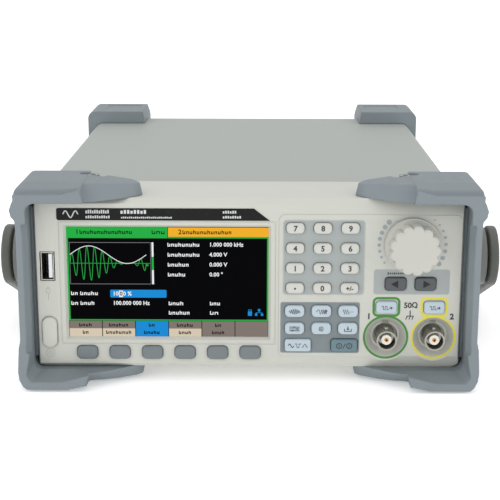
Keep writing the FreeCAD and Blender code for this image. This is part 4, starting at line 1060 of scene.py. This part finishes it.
class GENERATOR_OT_screen(bpy.types.Operator):
    """Draws the lit picture on the display"""

    bl_idname = "generator.screen"
    bl_label = "Screen"

    def execute(self, context):
        window = centre("display_window")
        self.dot = ACTIVE_WIDTH / DOTS_WIDE
        self.left = window.x - ACTIVE_WIDTH / 2
        self.top = window.z + self.dot * DOTS_HIGH / 2
        self.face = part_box("display_window")[0].y
        self.layers = {}
        self.header()
        self.plot()
        self.readings()
        self.tabs()
        finishes = {"green": SCREEN_GREEN, "orange": SCREEN_ORANGE, "blue": SCREEN_BLUE, "tan": SCREEN_TAN,
                    "brown": SCREEN_BROWN, "grey": SCREEN_GREY, "white": SCREEN_WHITE, "black": SCREEN_BLACK}
        for name, pieces in self.layers.items():
            merge(pieces, "screen_" + name, lit("screen_" + name, finishes[name], 1.0))
        return {"FINISHED"}

    def put(self, ink_name, piece):
        self.layers.setdefault(ink_name, []).append(piece)

    def depth(self, level):
        return self.face - (0.04 + 0.04 * level) * MM

    def tile(self, ink_name, left, top, right, bottom, level=0, corner=0.0):
        x = self.left + (left + right) / 2 * self.dot
        z = self.top - (top + bottom) / 2 * self.dot
        self.put(ink_name, patch(x, z, (right - left) * self.dot, (bottom - top) * self.dot, self.depth(level),
                                 corner * self.dot))

    def line(self, ink_name, points, width, level=1):
        placed = [(self.left + u * self.dot, self.top - v * self.dot) for u, v in points]
        depth = self.depth(level)
        self.put(ink_name, press_flat(ribbon(placed, width * self.dot, depth), depth))

    def words(self, ink_name, left, middle, letters, height=9.0, pitch=6.3, level=1):
        """A word that is only hinted at: upright strokes and bowls, in place of its letters."""
        stroke = 2.1
        for step in range(letters):
            tall = height * (1.0 if step == 0 or (step * 5) % 4 == 3 else 0.74)
            start, foot = left + step * pitch, middle + height / 2
            end = start + pitch * 0.76
            self.tile(ink_name, start, foot - tall, start + stroke, foot, level)
            self.tile(ink_name, end - stroke, foot - height * 0.74, end, foot, level)
            bar = foot - (0.74 * height if step % 2 else stroke)
            self.tile(ink_name, start + stroke, bar, end - stroke, bar + stroke, level)

    def number(self, ink_name, text, left, middle, height=9.6, level=1):
        clear_selection()
        x = self.left + left * self.dot
        z = self.top - middle * self.dot
        bpy.ops.object.text_add(location=(x, self.depth(level), z), rotation=(math.pi / 2, 0, 0))
        words = bpy.context.object
        words.data.body = text
        words.data.align_x = "LEFT"
        words.data.align_y = "CENTER"
        words.data.size = height * self.dot / 0.7
        words.data.offset = 0.065 * MM
        words.data.extrude = 0.005 * MM
        words.data.resolution_u = 2
        self.put(ink_name, settle(words, "screen_number"))

    def header(self):
        self.tile("green", 0, 0, 240, 28)
        self.tile("black", 240, 0, 241.5, 24, 1)
        self.tile("orange", 241.5, 1.5, 480, 24)
        self.tile("green", 241, 24, 480, 28)
        self.tile("green", 0, 28, 4, 232)
        self.tile("green", 476.5, 28, 480, 232)
        self.tile("green", 0, 229, 480, 232)
        self.tile("black", 4, 28, 476.5, 229, 0)
        self.number("black", "1", 22, 13, 11)
        self.words("black", 32, 13, 15, 9.5, 8.4)
        self.words("black", 203, 13, 3, 9.5, 11)
        self.number("black", "2", 266, 13, 11)
        self.words("black", 276, 13, 14, 9.5, 8.4)

    def plot(self):
        frame_sides = ((6, 38, 200, 39.3), (6, 140, 200, 141.3), (6, 38, 7.3, 141), (199, 38, 200.3, 141))
        for left, top, right, bottom in frame_sides:
            self.tile("grey", left, top, right, bottom, 1)
        self.tile("white", 202, 38, 206.5, 141, 1)
        self.tile("green", 202, 73, 206.5, 106, 2)
        self.tile("green", 8, 89, 198, 90.2, 1)
        swell = [(7 + 182 * s / 60, 68.5 - 21.5 * math.sin(2 * math.pi * s / 60)) for s in range(61)]
        carrier = []
        for step in range(301):
            share = step / 300
            size = 21.0 + 21.5 * math.sin(2 * math.pi * share)
            carrier.append((7 + 182 * share, 89.5 - size * math.sin(2 * math.pi * 10 * share)))
        self.line("green", carrier, 1.7, 1.5)
        self.line("white", swell, 1.9, 2)
        self.tile("green", 189, 92, 194, 96, 2)

    def readings(self):
        rows = ((43.5, 9, "1.000 000 kHz"), (68, 9, "4.000 V"), (92.5, 6, "0.000 V"), (117, 5, "0.00 °"))
        for row, letters, value in rows:
            self.words("white", 240, row, letters, 9.0, 8.6)
            self.number("white", value, 339, row)
        self.words("white", 7, 164, 2, 9.0, 9)
        self.words("white", 29, 164, 5, 9.0, 8.8)
        self.tile("blue", 101, 155, 236, 174.5, 1, 3.0)
        self.number("white", "100.0 %", 107, 165, 10, 2)
        self.tile("white", 122, 157, 131.5, 173, 2)
        self.number("black", "0", 123.5, 165, 10, 3)
        self.words("white", 7, 188.5, 2, 9.0, 9)
        self.words("white", 29, 188.5, 4, 9.0, 8.8)
        self.number("white", "100.000 000 Hz", 107, 188.5)
        self.words("white", 241, 188.5, 4, 9.0, 9.2)
        self.words("white", 340, 188.5, 3, 9.0, 8.6)
        self.words("white", 241, 212, 6, 9.0, 8.6)
        self.words("white", 340, 212, 2, 9.0, 11)
        self.tile("blue", 431, 208, 441, 219, 1, 1.5)
        self.line("blue", [(433, 208), (433, 204), (439, 204), (439, 208)], 1.8)
        for u, v in ((458, 205), (451, 216), (465, 216)):
            self.tile("blue", u - 3, v - 3, u + 3, v + 3, 1, 1.0)
        self.line("blue", [(458, 208), (458, 211), (451, 211), (451, 214)], 1.4)
        self.line("blue", [(458, 211), (465, 211), (465, 214)], 1.4)

    def tabs(self):
        kinds = ("pair", "pair", "chosen", "pair", "single", "blank")
        for number, kind in enumerate(kinds):
            left, right = number * 80 + 1.0, number * 80 + 79.0
            if kind == "chosen":
                self.tile("blue", left, 233, right, 272)
            elif kind == "pair":
                self.tile("brown", left, 233, right, 252)
                self.tile("tan", left, 252, right, 272)
            else:
                self.tile("brown", left, 233, right, 272)
            if kind != "blank":
                first, second = ((4, 2), (6, 8), (2, 5), (5, 4), (2, 4), (0, 0))[number]
                self.words("black", (left + right) / 2 - first * 4, 243, first, 8.5, 8.0)
                self.words("black", (left + right) / 2 - second * 3.9, 261.5, second, 8.5, 7.8)


# ---------------------------------------------------------------- stage
CAMERA_PLACE = (4.93 * MM, -712.53 * MM, 211.2 * MM)
CAMERA_TURN = (math.radians(75.92), math.radians(-0.087), math.radians(0.4506))
CAMERA_LENS = 91.67


def soft_light(name, place, target, size, power, tint=(1.0, 1.0, 1.0)):
    clear_selection()
    bpy.ops.object.light_add(type="AREA", location=place)
    lamp = bpy.context.object
    lamp.name = name
    lamp.data.shape = "RECTANGLE"
    lamp.data.size, lamp.data.size_y = size
    lamp.data.energy = power
    lamp.data.color = tint
    lamp.rotation_euler = (Vector(target) - Vector(place)).to_track_quat("-Z", "Y").to_euler()


class GENERATOR_OT_stage(bpy.types.Operator):
    """Makes the floor, the soft studio light and the camera"""

    bl_idname = "generator.stage"
    bl_label = "Stage"

    def execute(self, context):
        clear_selection()
        bpy.ops.mesh.primitive_plane_add(size=16.0, location=(0, 4.0, 0))
        floor = bpy.context.object
        floor.name = "studio_floor"
        paper = Finish("studio_paper")
        drift = paper.noise(2.0, 2.0)
        paper.set(Base_Color=paper.blend(drift, ink(249, 249, 249), ink(252, 252, 252)), Roughness=0.9)
        paper.set(Emission_Color=(1.0, 1.0, 1.0, 1.0), Emission_Strength=0.3, Specular_IOR_Level=0.0)
        floor.data.materials.append(paper.material)
        world = bpy.data.worlds.new("studio_air")
        world.use_nodes = True
        world.node_tree.nodes["Background"].inputs["Color"].default_value = (1.0, 1.0, 1.0, 1.0)
        world.node_tree.nodes["Background"].inputs["Strength"].default_value = 0.9
        bpy.context.scene.world = world
        soft_light("light_overhead", (0.0, -0.1, 1.5), (0, 0, 0.05), (1.8, 1.8), 4.5)
        soft_light("light_left", (-1.2, -1.2, 0.9), (0, -0.1, 0.05), (0.9, 0.9), 4.0)
        soft_light("light_right", (1.3, -1.0, 0.7), (0, -0.1, 0.05), (0.8, 0.8), 2.6)
        bpy.ops.object.camera_add(location=CAMERA_PLACE, rotation=CAMERA_TURN)
        camera = bpy.context.object
        camera.name = "studio_camera"
        camera.data.lens = CAMERA_LENS
        camera.data.sensor_width = 36.0
        camera.data.dof.use_dof = False
        bpy.context.scene.camera = camera
        bpy.context.scene.view_settings.view_transform = "Standard"
        return {"FINISHED"}


OPERATORS = (GENERATOR_OT_case, GENERATOR_OT_bumpers, GENERATOR_OT_handle, GENERATOR_OT_knob,
             GENERATOR_OT_sockets, GENERATOR_OT_keys, GENERATOR_OT_key_marks, GENERATOR_OT_panel_marks,
             GENERATOR_OT_screen, GENERATOR_OT_stage)


class GENERATOR_PT_sidebar(bpy.types.Panel):
    """Lists the sizes, the colours and the steps"""

    bl_label = "Function generator"
    bl_idname = "GENERATOR_PT_sidebar"
    bl_space_type = "VIEW_3D"
    bl_region_type = "UI"
    bl_category = "Generator"

    def draw(self, context):
        for group in (context.scene.generator_sizes, context.scene.generator_colours):
            for name in group.__annotations__:
                self.layout.prop(group, name)
        for operator in OPERATORS:
            self.layout.operator(operator.bl_idname)


CLASSES = (GeneratorSizes, GeneratorColours) + OPERATORS + (GENERATOR_PT_sidebar,)


def register():
    for kind in CLASSES:
        bpy.utils.register_class(kind)
    bpy.types.Scene.generator_sizes = bpy.props.PointerProperty(type=GeneratorSizes)
    bpy.types.Scene.generator_colours = bpy.props.PointerProperty(type=GeneratorColours)


def unregister():
    del bpy.types.Scene.generator_sizes
    del bpy.types.Scene.generator_colours
    for kind in reversed(CLASSES):
        bpy.utils.unregister_class(kind)


def main():
    register()
    for operator in OPERATORS:
        group, name = operator.bl_idname.split(".")
        getattr(getattr(bpy.ops, group), name)()


if __name__ == "__main__":
    main()
